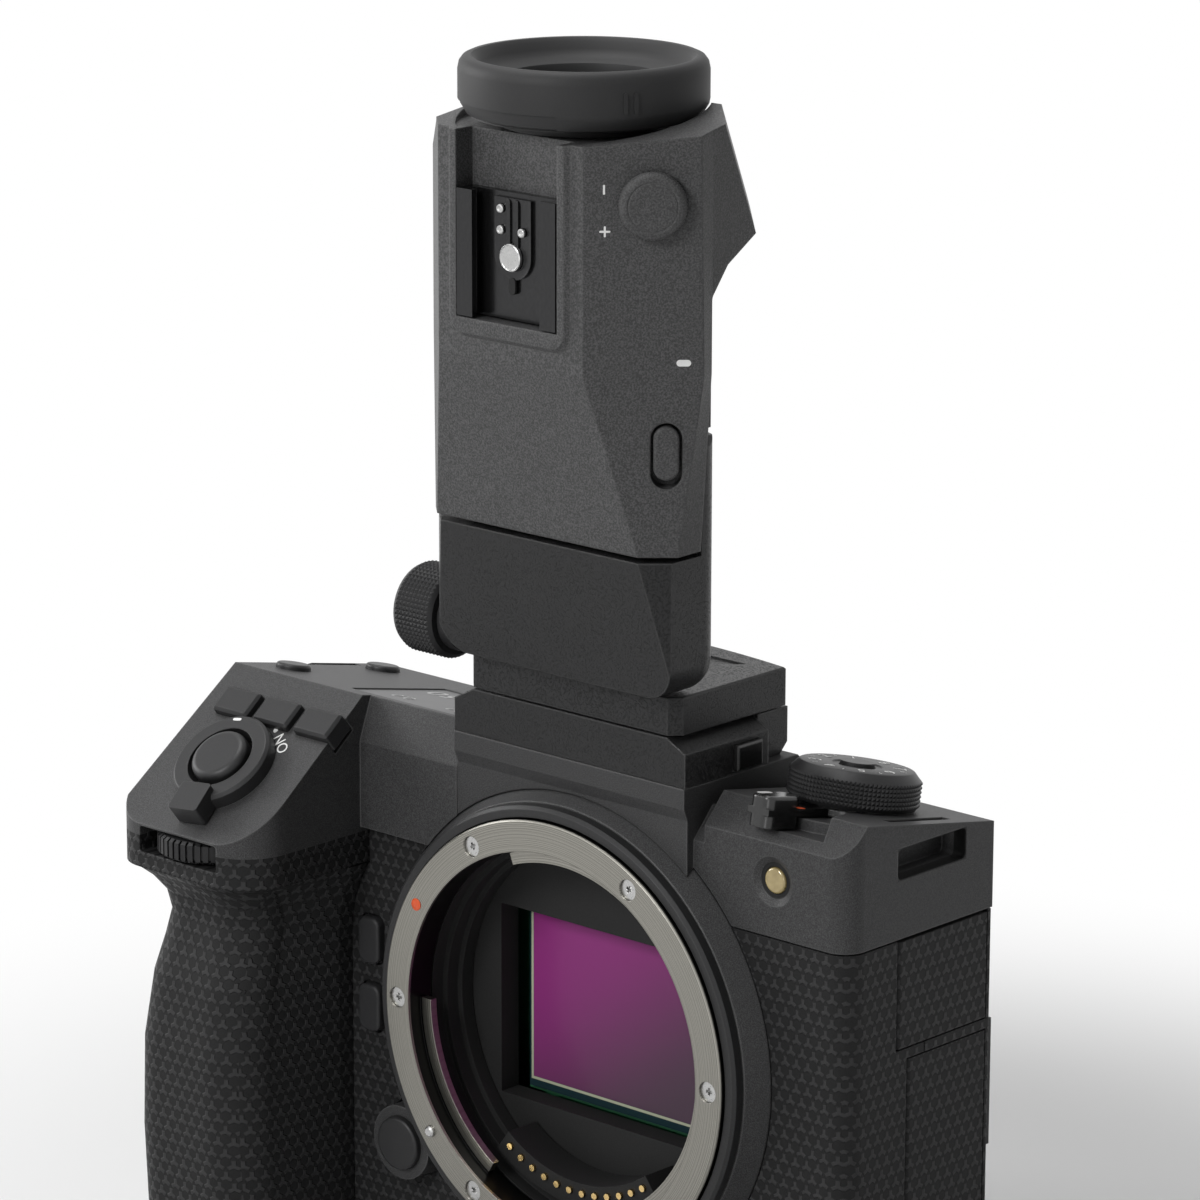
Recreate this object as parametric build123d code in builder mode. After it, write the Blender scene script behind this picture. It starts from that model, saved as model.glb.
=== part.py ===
from build123d import *
import os
from math import cos, sin, radians, degrees, atan

os.makedirs("parts", exist_ok=True)

# Medium format digital camera with a tilting viewfinder, in millimetres.
# The origin is the mouth of the tripod thread. X runs to the camera's own left, Y to its
# back and Z up. The image plane is Y = 0 and the lens axis is X = 0.

# Body
body_right = 63.15        # lens axis to the door side
body_left = 89.4          # lens axis to the grip side
front_face = 19.2         # image plane to the front face
rear_face = 20.5          # image plane to the rear face
flange_focal = 26.7       # image plane to the lens flange
lens_height = 52.1        # base to the lens axis
base_thickness = 3.0
top_height = 104.1        # base to the top of the hump
right_deck_drop = 3.8
right_deck_height = top_height - right_deck_drop
left_deck_drop = 2.7
left_deck_height = top_height - left_deck_drop
shell_top_drop = 19.7
shell_top = right_deck_height - shell_top_drop
shell_wall = 2.2
split = 2.0               # joint between front and rear shells
corner_radius = 4.5
skin = 0.8                # covering material
gap = 0.3                 # between separate pieces
run = 0.05                # shaft in its hole, on radius
overrun = 10.0            # how far a cut runs past its piece
edge_break = 0.6          # small rounding of machined edges
bond = 0.1                # round glass that is glued in

# Top plate
right_deck_fall = 0.19     # drop per millimetre to the back
bevel_drop = 2.7
bevel_low = right_deck_height - bevel_drop
bevel_back = 5.0
deck_start = 30.4          # inner edge of the right deck
valley_depth = 3.2
left_deck_fall = 0.21
left_front = 21.2
hump_half = 27.84
hump_front = 20.93
hump_step_low_drop = 6.0
hump_step_low = top_height - hump_step_low_drop
hump_step_high_drop = 3.7
hump_step_high = top_height - hump_step_high_drop
hump_overhang = 0.9
hump_rear = 16.0
pod_inner = 52.6           # lens axis to the pod's inner side
pod_front = 50.4
pod_lip_drop = 19.5
pod_lip = left_deck_height - pod_lip_drop
pod_bottom_drop = 8.4
pod_bottom = pod_lip - pod_bottom_drop
pod_draft = 3.0            # how far the outer side leans in, from the pod's bottom to its crest
pod_crest = 20.3           # where the sloping panel meets the deck
pod_corner = 9.5
left_bevel_drop = 4.4
left_bevel_back = 3.0
plate_wall = 2.4
roof = 5.6                 # thickness left over the hollow of the top plate
hollow_left = 48.0
pod_hollow_front = 26.0
pod_hollow_rear = 1.0
pod_hollow_height = 19.0

# Grip sections, from the base up: height, front, outer side, inner side and root
grip_levels_share = (0.0, 0.25, 0.50, 0.68, 0.78, 0.85, 0.91, 0.96, 1.0)
grip_front = (46.6, 47.4, 47.0, 45.2, 43.2, 42.2, 43.2, 46.0, 49.4)
grip_outer = (89.4, 89.4, 89.2, 88.2, 87.0, 86.2, 86.6, 87.8, 89.2)
grip_inner = (58.4, 59.0, 59.4, 60.0, 60.6, 60.8, 60.2, 58.8, 56.8)
grip_root = (57.3, 57.3, 57.3, 57.3, 57.3, 57.0, 56.0, 54.4, 52.9)
grip_round_outer = 8.0
grip_round_inner = 9.0
grip_root_front = 22.4
chamber_wall = 3.4
chamber_inner = 67.0
battery_clear = 0.4
battery_height = 58.0

# Lens mount
mount_outer = 41.0
mount_inner = 35.2
mount_plate = 2.6
mount_collar = 36.9
mount_collar_depth = 6.0
throat = 37.2              # hole in the front shell behind the mount
lug_front = 3.2            # flange to the front of the bayonet lugs
lug_depth = 1.5
lug_inner = 32.5
lug_starts = (52.0, 180.0, 300.0)
lug_sweep = 59.0
screw_circle = 38.0
screw_count = 6
screw_head = 1.9
screw_sink = 0.5
screw_head_height = 1.4
screw_shank = 0.7
screw_reach = 6.4          # flange to the end of the screw
screw_slot = 0.5
trim_inner = 41.3
trim_outer = 43.4
trim_front = 1.0
trim_depth = 2.4
barrel_front_radius = 43.7
barrel_radius = 46.2
barrel_depth = 7.5

# Inside the mount
baffle_front = 6.6
baffle_step = 2.8
baffle_radii = (35.4, 34.3, 33.2)
contact_ring = 30.15
contact_depth = 7.4
contact_block_depth = 7.4
contact_block_inner = 28.4
contact_start = 233.5
contact_sweep = 73.0
contact_first = 237.5
contact_length = 3.0
contact_count = 12
contact_pitch = 5.96
contact_pin = 0.62
contact_pin_proud = 0.5
frame_front = 15.2
frame_depth = 4.6
frame_radius = 36.4
gate_width = 52.0
gate_height = 36.5
gate_drop = 0.95
glass_width = 46.8
glass_height = 35.2
glass_thick = 1.0
glass_front = 20.1
board_width = 64.0
board_height = 52.0
chip_width = 44.6
chip_height = 33.8
chip_thick = 1.6
board_thick = 2.2
holder_wall = 1.8
pillar_radius = 2.0
pillar_x = 28.0
pillar_z = 20.0
main_board_width = 92.0
main_board_height = 60.0
main_board_thick = 1.6
main_board_rise = 8.0

# Tripod thread, 1/4 inch
thread_radius = 2.6
thread_length = 8.0
bush_radius = 5.6
bush_flange = 8.2
bush_flange_thick = 2.0

# Focus lamp and strap slots
lamp_x = 46.1
lamp_z_drop = 9.6
lamp_z = right_deck_height - lamp_z_drop
lamp_radius = 2.4
lamp_depth = 2.6
lamp_sink = 0.9            # glass behind the front face
lamp_rim = 4.5             # outer radius of the cone round it
lamp_bore = 3.2
strap_y = 3.4
strap_length = 18.6
strap_low_drop = 8.9
strap_low = right_deck_height - strap_low_drop
strap_high_drop = 3.3
strap_high = right_deck_height - strap_high_drop
strap_depth = 5.4
strap_slit = 2.0
strap_bar = 2.6

# Top monitor and top buttons
monitor_x = 45.6
monitor_y = -3.6
monitor_width = 28.6
monitor_length = 25.6
monitor_thick = 1.2
monitor_sink = 0.25
top_button_x = 80.0
top_button_front_y = -11.4
top_button_rear_y = 12.4
top_button_radius = 3.3
top_button_proud = 1.1
button_depth = 3.2
press = 0.6                # travel of a push button

# Shutter pod controls, along the panel's slope from its crest
panel_button_slope = 8.8
panel_button_count = 3
panel_button_first = 78.0
panel_button_pitch = 10.6
panel_button_width = 8.9
panel_button_height = 5.8
panel_button_proud = 1.7
panel_button_bevel = 1.1
shutter_x = 70.8
shutter_slope = 22.0
shutter_radius = 5.7
shutter_proud = 4.2
shutter_depth = 3.6
shutter_press = 1.2
shutter_edge = 1.4
lever_ring = 10.0
lever_ring_height = 3.0
lever_bore = 6.7
lever_seat_depth = 1.2
lever_tab_width = 6.8
lever_tab_reach = 13.6
lever_tab_height = 4.2
lever_angle = -83.0
front_dial_x = 70.9
front_dial_z_drop = 2.9
front_dial_z = pod_lip - front_dial_z_drop
front_dial_radius = 10.4
front_dial_height = 4.0
front_dial_proud = 1.2
dial_pin = 1.5
dial_pin_length = 1.6
dial_window_width = 20.2
dial_window_height = 5.0
dial_window_depth = 6.0
dial_clear = 1.0

# Rear dial
rear_dial_x = 60.0
rear_dial_y = 13.4
rear_dial_z_drop = 13.9
rear_dial_z = left_deck_height - rear_dial_z_drop
rear_dial_radius = 9.0
rear_dial_height = 5.0

# Mode dial and the still and movie lever
mode_x = 45.3
mode_y = 2.9
mode_radius = 11.7
mode_height = 6.7
mode_bevel = 1.5
mode_lift = 0.4
mode_lock_radius = 3.1
mode_lock_proud = 0.5
mode_spindle = 2.2
mode_spindle_length = 4.0
still_disc = 8.8
still_disc_thick = 1.3
still_drop = 2.2           # lever's tab below the disc, in the deck's front recess
still_reach = 23.2         # mode dial's axis to the lever's tip
still_tab_start = 15.0
still_width = 5.2
still_height = 2.2
still_angle = -95.0
still_travel = 26.0

# Lens release, lock pin and front buttons
release_x = 40.6
release_z = 22.3
release_radius = 5.1
release_boss = 7.1
release_boss_front = 3.4
release_proud = 1.3
release_depth = 6.0
lock_pin_radius = 1.05
lock_pin_angle = 219.0
lock_pin_length = 9.0
lock_pin_proud = 0.8
front_button_x = 51.6
front_button_zs = (58.6, 45.4)
front_button_width = 5.4
front_button_height = 9.0
front_button_proud = 1.4

# Rear controls
stick_x = 36.0
stick_z = 72.0
stick_radius = 3.4
stick_proud = 3.0
stick_ball = 2.2
stick_neck = 1.5
stick_neck_length = 1.2
rear_button_x = 36.0
rear_button_zs = (56.0, 26.0)
rear_button_radius = 3.3
rear_button_proud = 1.0

# Screen
screen_left = 24.0         # lens axis to the screen's hinge side
screen_right = 56.0
screen_low = 14.0
screen_high = 66.0
screen_arm_thick = 2.5
screen_thick = 5.2
screen_border = 6.0
screen_glass_thick = 0.9
screen_tab_height = 24.0
screen_tab_proud = 1.1
screen_tab_width = 4.0
screen_tab_z = 44.0
screen_pin = 1.0
screen_pin_length = 2.0
screen_ear = 3.0
screen_notch = 5.8

# Doors
door_thick = 2.0
door_front = -5.4
door_rear = 19.0
upper_door_low = 60.4
upper_door_high = 80.0
lower_door_low = 12.0
lower_door_high = 58.0
lower_door_front = -2.4
card_door_front = 4.6
card_door_rear = 18.4
card_door_low = 22.0
card_door_high = 72.0
battery_door_front = -41.0
battery_door_rear = -6.0
battery_door_outer = 86.0
battery_door_inner = 66.0

# Adapter on the hump
base_step = 2.5            # how much narrower the base is than the hump
base_half = hump_half - base_step
base_front = 21.6
base_rear = 8.6
base_height = 8.5
shoulder_rear = 0.6
shoulder_low = 6.2         # height of the shoulder's outer edge over the hump
shoulder_top_half_drop = 4.4
shoulder_top_half = hump_half - shoulder_top_half_drop
catch_y = -5.4
catch_z = 3.0              # centre over the hump
catch_length = 6.6
catch_height = 4.6
catch_proud = 1.2
catch_depth = 4.0
swivel_y = -7.0
swivel_pin = 6.0
swivel_pin_length = 5.0
swivel_pin_clear = 0.5
plate_front = 21.3
plate_rear_side = 8.0
plate_rear = 10.2
plate_height = 6.95
plate_corner = 2.0
catch_travel = 0.8
label_y = 2.5
label_half = 19.0
label_depth = 0.3
label_length = 4.4

# Tilt arm
hinge_y = -16.7
hinge_rise = 4.45          # hinge over the swivel plate
hinge_barrel = 3.7
hinge_half = 10.0
hinge_pin = 1.8
arm_half = 27.9
arm_front = 24.7           # front of the arm at its bottom
arm_lean = 0.187           # forward lean per millimetre of height
arm_height = 25.2
arm_rear = 12.6
arm_bottom_round = 6.5
arm_back_thick = 5.0
arm_back_top = 45.8
arm_heel_round = 4.0
arm_back_chamfer = 1.5
slot_half = 10.3
slot_front = 20.8
slot_height = 8.3
facet_slope = 0.93         # depth gained per millimetre of width
axle_end = 24.0
axle_in_knob = 6.0
knob_radius = 8.1
knob_length = 9.8
knob_flange = 6.6
knob_flange_length = 2.7

# Viewfinder
finder_gap = 0.9           # over the arm
finder_front = 35.5        # image plane to the flat front
finder_front_half = 17.0
finder_shift = -0.8        # the flat front's middle, from the lens axis
finder_height = 97.3       # the eyecup's seat over the arm's bottom
finder_rear_low = 18.0
finder_wall = 2.6
# Its sections from the foot up: rise over the foot, front, half width, half width at the rear
finder_rises = (0.0, 31.7, 76.0)
finder_fronts = (29.0, 35.5, 35.5)
finder_halves = (28.3, 31.4, 30.9)
finder_rear_halves = (28.0, 30.2, 30.2)
# The flared head: its side outline as measures ahead of the image plane and rises over the foot
flare_outline = ((22, 39), (18, 39), (18, 44.9), (13.4, 49.9), (-2.1, 57.7), (8.6, 84), (22, 84))
flare_round = 1.5
flare_draw = 2.3           # how far its sides draw in to the back
flare_corner = 7.2
finder_top_low = 97.4      # top edge at the front, over the arm's bottom
finder_top_rise = 0.14     # rise per millimetre to the back
finder_shoulder = 90.6     # right side's top edge
finder_top_half = 21.6
room_front = 26.4
room_half = 20.5
room_rear = 8.0
room_step = 54.4           # rise over the foot from which the room is deeper
frame_half = 14.3          # raised frame round the shoe
frame_low = 61.0
frame_round = 4.0
frame_proud = 0.9
rail_half = 26.0
rail_rear = 13.4
rail_low = 47.0
rail_high = 74.0
shoe_half = 11.6
shoe_length = 22.6
shoe_low = 64.6            # over the arm's bottom
shoe_lip = 1.6
shoe_lip_thick = 1.2
shoe_floor = 1.5
shoe_rise = 4.4
shoe_slot_half = 9.6
shoe_recess = 3.4
shoe_contact = 2.0
shoe_contact_proud = 0.3
dioptre_along = 11.9
dioptre_z = 87.6
dioptre_radius = 5.9
dioptre_height = 2.6
dioptre_pin = 1.6
dioptre_pin_length = 2.0
slider_along = 14.4        # from the crease, along the facet
slider_z = 44.6
slider_width = 4.4
slider_length = 9.4
slider_proud = 0.9
slider_travel = 1.2
slider_depth = 3.0
slider_clear = 0.5
eyecup_y = 17.6            # its axis ahead of the image plane
eyecup_radius = 21.9
eyecup_low = 99.0          # over the arm's bottom
eyecup_high = 109.6
eyecup_lip = 1.0
eyecup_dish = 18.6
eyecup_floor = 12.6
eyecup_dish_depth = 4.4
eyecup_foot = 19.4
eyecup_foot_rise = 2.6
eyecup_neck = 14.6
eyepiece_radius = 11.6
eyepiece_edge = 3.4
eyepiece_dome = 1.4

arm_bottom = top_height + base_height + gap + plate_height + gap


def lens_plane(depth):
    """Plane square to the lens axis, at a depth behind the flange; its normal looks forwards."""
    return Plane(origin=(0, depth - flange_focal, lens_height), x_dir=(1, 0, 0), z_dir=(0, -1, 0))


panel_run = pod_front - pod_crest
left_crest_z = left_deck_height + left_deck_fall * pod_crest
panel_rise = left_crest_z - pod_lip
panel_tilt = degrees(atan(panel_rise / panel_run))


def panel_point(x, slope, out=0):
    """Point on the sloping pod panel, measured down from its crest."""
    turn = radians(panel_tilt)
    return (-x, -pod_crest - slope * cos(turn) - out * sin(turn),
            left_crest_z - slope * sin(turn) + out * cos(turn))


def panel_plane(x, slope, out=0):
    """Plane on the pod panel: local x to the camera's left, local z out of the panel."""
    turn = radians(panel_tilt)
    return Plane(origin=panel_point(x, slope, out), x_dir=(1, 0, 0),
                 z_dir=(0, -sin(turn), cos(turn)))


def right_deck_plane(x, y, out=0):
    """Plane on the right deck, which falls to the back."""
    turn = atan(right_deck_fall)
    return Plane(origin=(x, y + out * sin(turn), right_deck_height - right_deck_fall * y
                         + out * cos(turn)), x_dir=(1, 0, 0), z_dir=(0, sin(turn), cos(turn)))


def left_deck_plane(x, y, out=0):
    """Plane on the left deck, which falls to the back."""
    turn = atan(left_deck_fall)
    return Plane(origin=(-x, y + out * sin(turn), left_deck_height - left_deck_fall * y
                         + out * cos(turn)), x_dir=(1, 0, 0), z_dir=(0, sin(turn), cos(turn)))


def grip_section(index, grow=0):
    """Closed outline of the grip at one of its levels, grown outwards by a clearance."""
    front = -grip_front[index] - grow
    outer = -grip_outer[index] - grow
    inner = -grip_inner[index] + grow
    root = -grip_root[index] + grow
    back = split + (grow if grow > 0 else 0)
    with BuildSketch() as outline:
        with BuildLine():
            Line((outer, back), (outer, front + grip_round_outer))
            RadiusArc((outer, front + grip_round_outer), (outer + grip_round_outer, front),
                      -grip_round_outer)
            Line((outer + grip_round_outer, front), (inner - grip_round_inner, front))
            RadiusArc((inner - grip_round_inner, front), (inner, front + grip_round_inner),
                      -grip_round_inner)
            Line((inner, front + grip_round_inner), (root, -grip_root_front + grow))
            Line((root, -grip_root_front + grow), (root, back))
            Line((root, back), (outer, back))
        make_face()
    return outline.sketch


grip_low = base_thickness + gap
grip_high = pod_bottom - gap
grip_heights = [grip_low + share * (grip_high - grip_low) for share in grip_levels_share]

# The grip's outer form with a clearance round it, which the shells leave free
with BuildPart() as grip_room:
    for index, height in enumerate(grip_heights):
        with BuildSketch(Plane.XY.offset(height)):
            add(grip_section(index, gap))
    loft(ruled=True)

# Front shell: a tray open to the back, with the lens barrel on its face
shell_right = body_right - skin
shell_front = front_face - skin
shell_height = shell_top - gap - grip_low
inner_right = body_right - door_thick - shell_wall
with BuildPart() as pod_room:
    with BuildSketch(Plane.XY.offset(grip_high)):
        with Locations((-(body_left + pod_inner - gap) / 2, (split + gap - pod_front) / 2)):
            Rectangle(body_left - pod_inner + gap, pod_front + split + gap)
    extrude(amount=shell_top - grip_high)

doors = (("terminal_door_upper", door_front, upper_door_low, upper_door_high),
         ("terminal_door_lower", lower_door_front, lower_door_low, lower_door_high))
with BuildPart() as door_windows:
    for name, front, low, high in doors:
        with BuildSketch(Plane.YZ.offset(body_right - door_thick - gap)):
            with Locations(((front + door_rear) / 2, (low + high) / 2)):
                Rectangle(door_rear - front + 2 * gap, high - low + 2 * gap)
        extrude(amount=door_thick + overrun)

with BuildPart() as front_shell:
    with BuildSketch(Plane.XY.offset(grip_low)):
        with Locations(((shell_right - grip_root[0]) / 2, (split - shell_front) / 2)):
            Rectangle(shell_right + grip_root[0], split + shell_front)
    extrude(amount=shell_height)
    corner = front_shell.edges().filter_by(Axis.Z).group_by(Axis.Y)[0].sort_by(Axis.X)[-1]
    fillet(corner, radius=corner_radius - skin)
    with BuildSketch(Plane.XY.offset(grip_low)):
        with Locations(((inner_right - grip_root[0] + shell_wall) / 2,
                        (split - shell_front + shell_wall) / 2)):
            Rectangle(inner_right + grip_root[0] - shell_wall, split + shell_front - shell_wall)
    extrude(amount=shell_height, mode=Mode.SUBTRACT)
    with BuildSketch(lens_plane(barrel_depth + skin + shell_wall)):
        Circle(barrel_radius - shell_wall)
    extrude(amount=shell_wall)
    with BuildSketch(lens_plane(barrel_depth + skin)):
        Circle(barrel_radius)
        with Locations((-release_x, release_z - lens_height)):
            Circle(release_boss)
    extrude(amount=skin)
    with Locations(lens_plane(barrel_depth)):
        Cone(barrel_radius, barrel_front_radius, barrel_depth - trim_front - trim_depth,
             align=(Align.CENTER, Align.CENTER, Align.MIN))
    with BuildSketch(lens_plane(trim_front + trim_depth)):
        Circle(trim_inner - gap)
    extrude(amount=trim_front + trim_depth - mount_plate)
    with BuildSketch(lens_plane(barrel_depth)):
        with Locations((-release_x, release_z - lens_height)):
            Circle(release_boss)
    extrude(amount=barrel_depth - release_boss_front)
    with BuildSketch(lens_plane(barrel_depth + skin + shell_wall + gap)):
        Circle(throat)
        with Locations((-release_x, release_z - lens_height)):
            Circle(release_radius + run)
        with Locations(*[(-front_button_x, z - lens_height) for z in front_button_zs]):
            RectangleRounded(front_button_width + 2 * run, front_button_height + 2 * run,
                             front_button_width / 3)
        with Locations((screw_circle * cos(radians(lock_pin_angle)),
                        screw_circle * sin(radians(lock_pin_angle)))):
            Circle(lock_pin_radius + run)
    extrude(amount=barrel_depth + skin + shell_wall + overrun, mode=Mode.SUBTRACT)
    with BuildSketch(lens_plane(screw_reach + gap)):
        with PolarLocations(screw_circle, screw_count):
            Circle(screw_shank + run)
    extrude(amount=screw_reach + overrun, mode=Mode.SUBTRACT)
    add(grip_room.part, mode=Mode.SUBTRACT)
    add(pod_room.part, mode=Mode.SUBTRACT)
    add(door_windows.part, mode=Mode.SUBTRACT)
front_shell.part.label = "front_shell"
export_step(front_shell.part, "parts/front_shell.step")

# Front skin: the textured covering on the front, wrapped round the door side
with BuildPart() as shell_block:
    with BuildSketch(Plane.XY.offset(grip_low - overrun)):
        with Locations(((shell_right - grip_root[0] - overrun) / 2, (split + overrun - shell_front) / 2)):
            Rectangle(shell_right + grip_root[0] + overrun, split + overrun + shell_front)
    extrude(amount=shell_height + 2 * overrun)
    corner = shell_block.edges().filter_by(Axis.Z).group_by(Axis.Y)[0].sort_by(Axis.X)[-1]
    fillet(corner, radius=corner_radius - skin)

with BuildPart() as front_skin:
    with BuildSketch(Plane.XY.offset(grip_low)):
        with Locations(((body_right - grip_root[0]) / 2, (split - front_face) / 2)):
            Rectangle(body_right + grip_root[0], front_face + split)
    extrude(amount=shell_height)
    corner = front_skin.edges().filter_by(Axis.Z).group_by(Axis.Y)[0].sort_by(Axis.X)[-1]
    fillet(corner, radius=corner_radius)
    add(shell_block.part, mode=Mode.SUBTRACT)
    with BuildSketch(lens_plane(barrel_depth + skin)):
        Circle(barrel_radius + gap)
        with Locations((-release_x, release_z - lens_height)):
            Circle(release_boss + gap)
        with Locations(*[(-front_button_x, z - lens_height) for z in front_button_zs]):
            RectangleRounded(front_button_width + 2 * gap, front_button_height + 2 * gap,
                             front_button_width / 3)
    extrude(amount=2 * skin, mode=Mode.SUBTRACT)
    add(grip_room.part, mode=Mode.SUBTRACT)
    add(pod_room.part, mode=Mode.SUBTRACT)
    add(door_windows.part, mode=Mode.SUBTRACT)
front_skin.part.label = "front_skin"
export_step(front_skin.part, "parts/front_skin.step")

# Grip skin: the moulded hand grip, hollow for the battery
chamber_outer = min(grip_outer) - chamber_wall
chamber_front = min(grip_front) - chamber_wall
with BuildPart() as grip_skin:
    for index, height in enumerate(grip_heights):
        with BuildSketch(Plane.XY.offset(height)):
            add(grip_section(index))
    loft(ruled=True)
    with BuildSketch(Plane.XY.offset(grip_low)):
        with Locations((-(chamber_outer + chamber_inner) / 2, (split - chamber_front) / 2)):
            Rectangle(chamber_outer - chamber_inner, split + chamber_front)
    extrude(amount=battery_height + chamber_wall, mode=Mode.SUBTRACT)
    with BuildSketch(Plane.XY.offset(grip_low)):
        with Locations((-(chamber_inner - chamber_wall + grip_root[0]) / 2, (split - grip_root_front) / 2)):
            Rectangle(chamber_inner - chamber_wall - grip_root[0] - chamber_wall,
                      split + grip_root_front)
    extrude(amount=battery_height + chamber_wall, mode=Mode.SUBTRACT)
grip_skin.part.label = "grip_skin"
export_step(grip_skin.part, "parts/grip_skin.step")

# Battery in the grip
with BuildPart() as battery:
    with BuildSketch(Plane.XY.offset(grip_low)):
        with Locations((-(chamber_outer + chamber_inner) / 2, (split - chamber_front) / 2)):
            RectangleRounded(chamber_outer - chamber_inner - 2 * battery_clear,
                             split + chamber_front - 2 * battery_clear, edge_break)
    extrude(amount=battery_height)
battery.part.label = "battery"
export_step(battery.part, "parts/battery.step")

# Rear shell: a tray open to the front, with windows for the doors on both sides
rear_width = body_right + body_left
rear_middle = (body_right - body_left) / 2
rear_control_plane = Plane(origin=(0, rear_face, 0), x_dir=(-1, 0, 0), z_dir=(0, 1, 0))
arm_pivot_y = rear_face + gap + screen_arm_thick / 2
arm_pivot_z = screen_high - screen_arm_thick / 2
with BuildPart() as rear_shell:
    with BuildSketch(Plane.XY.offset(grip_low)):
        with Locations((rear_middle, (split + gap + rear_face) / 2)):
            Rectangle(rear_width, rear_face - split - gap)
    extrude(amount=shell_height)
    corners = rear_shell.edges().filter_by(Axis.Z).group_by(Axis.Y)[-1]
    fillet(corners, radius=edge_break)
    with BuildSketch(Plane.XY.offset(grip_low)):
        with Locations((rear_middle, (split + gap + rear_face - shell_wall) / 2)):
            Rectangle(2 * inner_right + body_left - body_right,
                      rear_face - split - gap - shell_wall)
    extrude(amount=shell_height, mode=Mode.SUBTRACT)
    add(door_windows.part, mode=Mode.SUBTRACT)
    with BuildSketch(Plane.YZ.offset(-body_left + door_thick + gap)):
        with Locations(((card_door_front + card_door_rear) / 2, (card_door_low + card_door_high) / 2)):
            Rectangle(card_door_rear - card_door_front + 2 * gap,
                      card_door_high - card_door_low + 2 * gap)
    extrude(amount=-door_thick - overrun, mode=Mode.SUBTRACT)
    with BuildSketch(rear_control_plane.offset(-shell_wall - gap)):
        with Locations((stick_x, stick_z)):
            Circle(stick_ball + run)
        with Locations(*[(rear_button_x, z) for z in rear_button_zs]):
            Circle(rear_button_radius + run)
    extrude(amount=shell_wall + overrun, mode=Mode.SUBTRACT)
    with BuildSketch(Plane.XZ.offset(-rear_face)):
        with Locations((-screen_left - gap - screen_ear / 2, arm_pivot_z),
                       (screen_right + gap + screen_ear / 2, arm_pivot_z)):
            Rectangle(screen_ear, screen_ear)
    extrude(amount=-gap - screen_arm_thick)
    with BuildSketch(Plane.YZ.offset(-screen_left - gap - screen_ear)):
        with Locations((arm_pivot_y, arm_pivot_z)):
            Circle(screen_pin + run)
    extrude(amount=screen_right + screen_left + 2 * gap + 2 * screen_ear, mode=Mode.SUBTRACT)
rear_shell.part.label = "rear_shell"
export_step(rear_shell.part, "parts/rear_shell.step")

# Base plate, with the tripod hole and the battery opening
with BuildPart() as base_plate:
    with BuildSketch():
        with Locations((rear_middle, (rear_face - front_face) / 2)):
            Rectangle(rear_width, rear_face + front_face)
        add(grip_section(0))
    extrude(amount=base_thickness)
    right_corners = base_plate.edges().filter_by(Axis.Z).group_by(Axis.X)[-1].sort_by(Axis.Y)
    fillet(right_corners[0], radius=corner_radius)
    fillet(base_plate.edges().filter_by(Axis.Z).group_by(Axis.Y)[-1], radius=corner_radius / 3)
    with BuildSketch():
        Circle(bush_radius + run)
        with Locations((-(battery_door_outer + battery_door_inner) / 2,
                        (battery_door_front + battery_door_rear) / 2)):
            Rectangle(battery_door_outer - battery_door_inner + 2 * gap,
                      battery_door_rear - battery_door_front + 2 * gap)
    extrude(amount=base_thickness, mode=Mode.SUBTRACT)
base_plate.part.label = "base_plate"
export_step(base_plate.part, "parts/base_plate.step")

# Tripod socket: a flanged bush with the thread
with BuildPart() as tripod_socket:
    Cylinder(bush_radius, thread_length, align=(Align.CENTER, Align.CENTER, Align.MIN))
    with Locations((0, 0, base_thickness)):
        Cylinder(bush_flange, bush_flange_thick, align=(Align.CENTER, Align.CENTER, Align.MIN))
    Hole(thread_radius)
tripod_socket.part.label = "tripod_socket"
export_step(tripod_socket.part, "parts/tripod_socket.step")


def deck_outline(front, low, back, height, fall, rear, base):
    """Side outline of a deck: upright front, a bevel and a top that falls to the back."""
    with BuildSketch() as outline:
        with BuildLine():
            Polyline((-front, base), (-front, low), (-front + back, height + fall * (front - back)),
                     (rear, height - fall * rear), (rear, base), close=True)
        make_face()
    return outline.sketch


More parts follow.
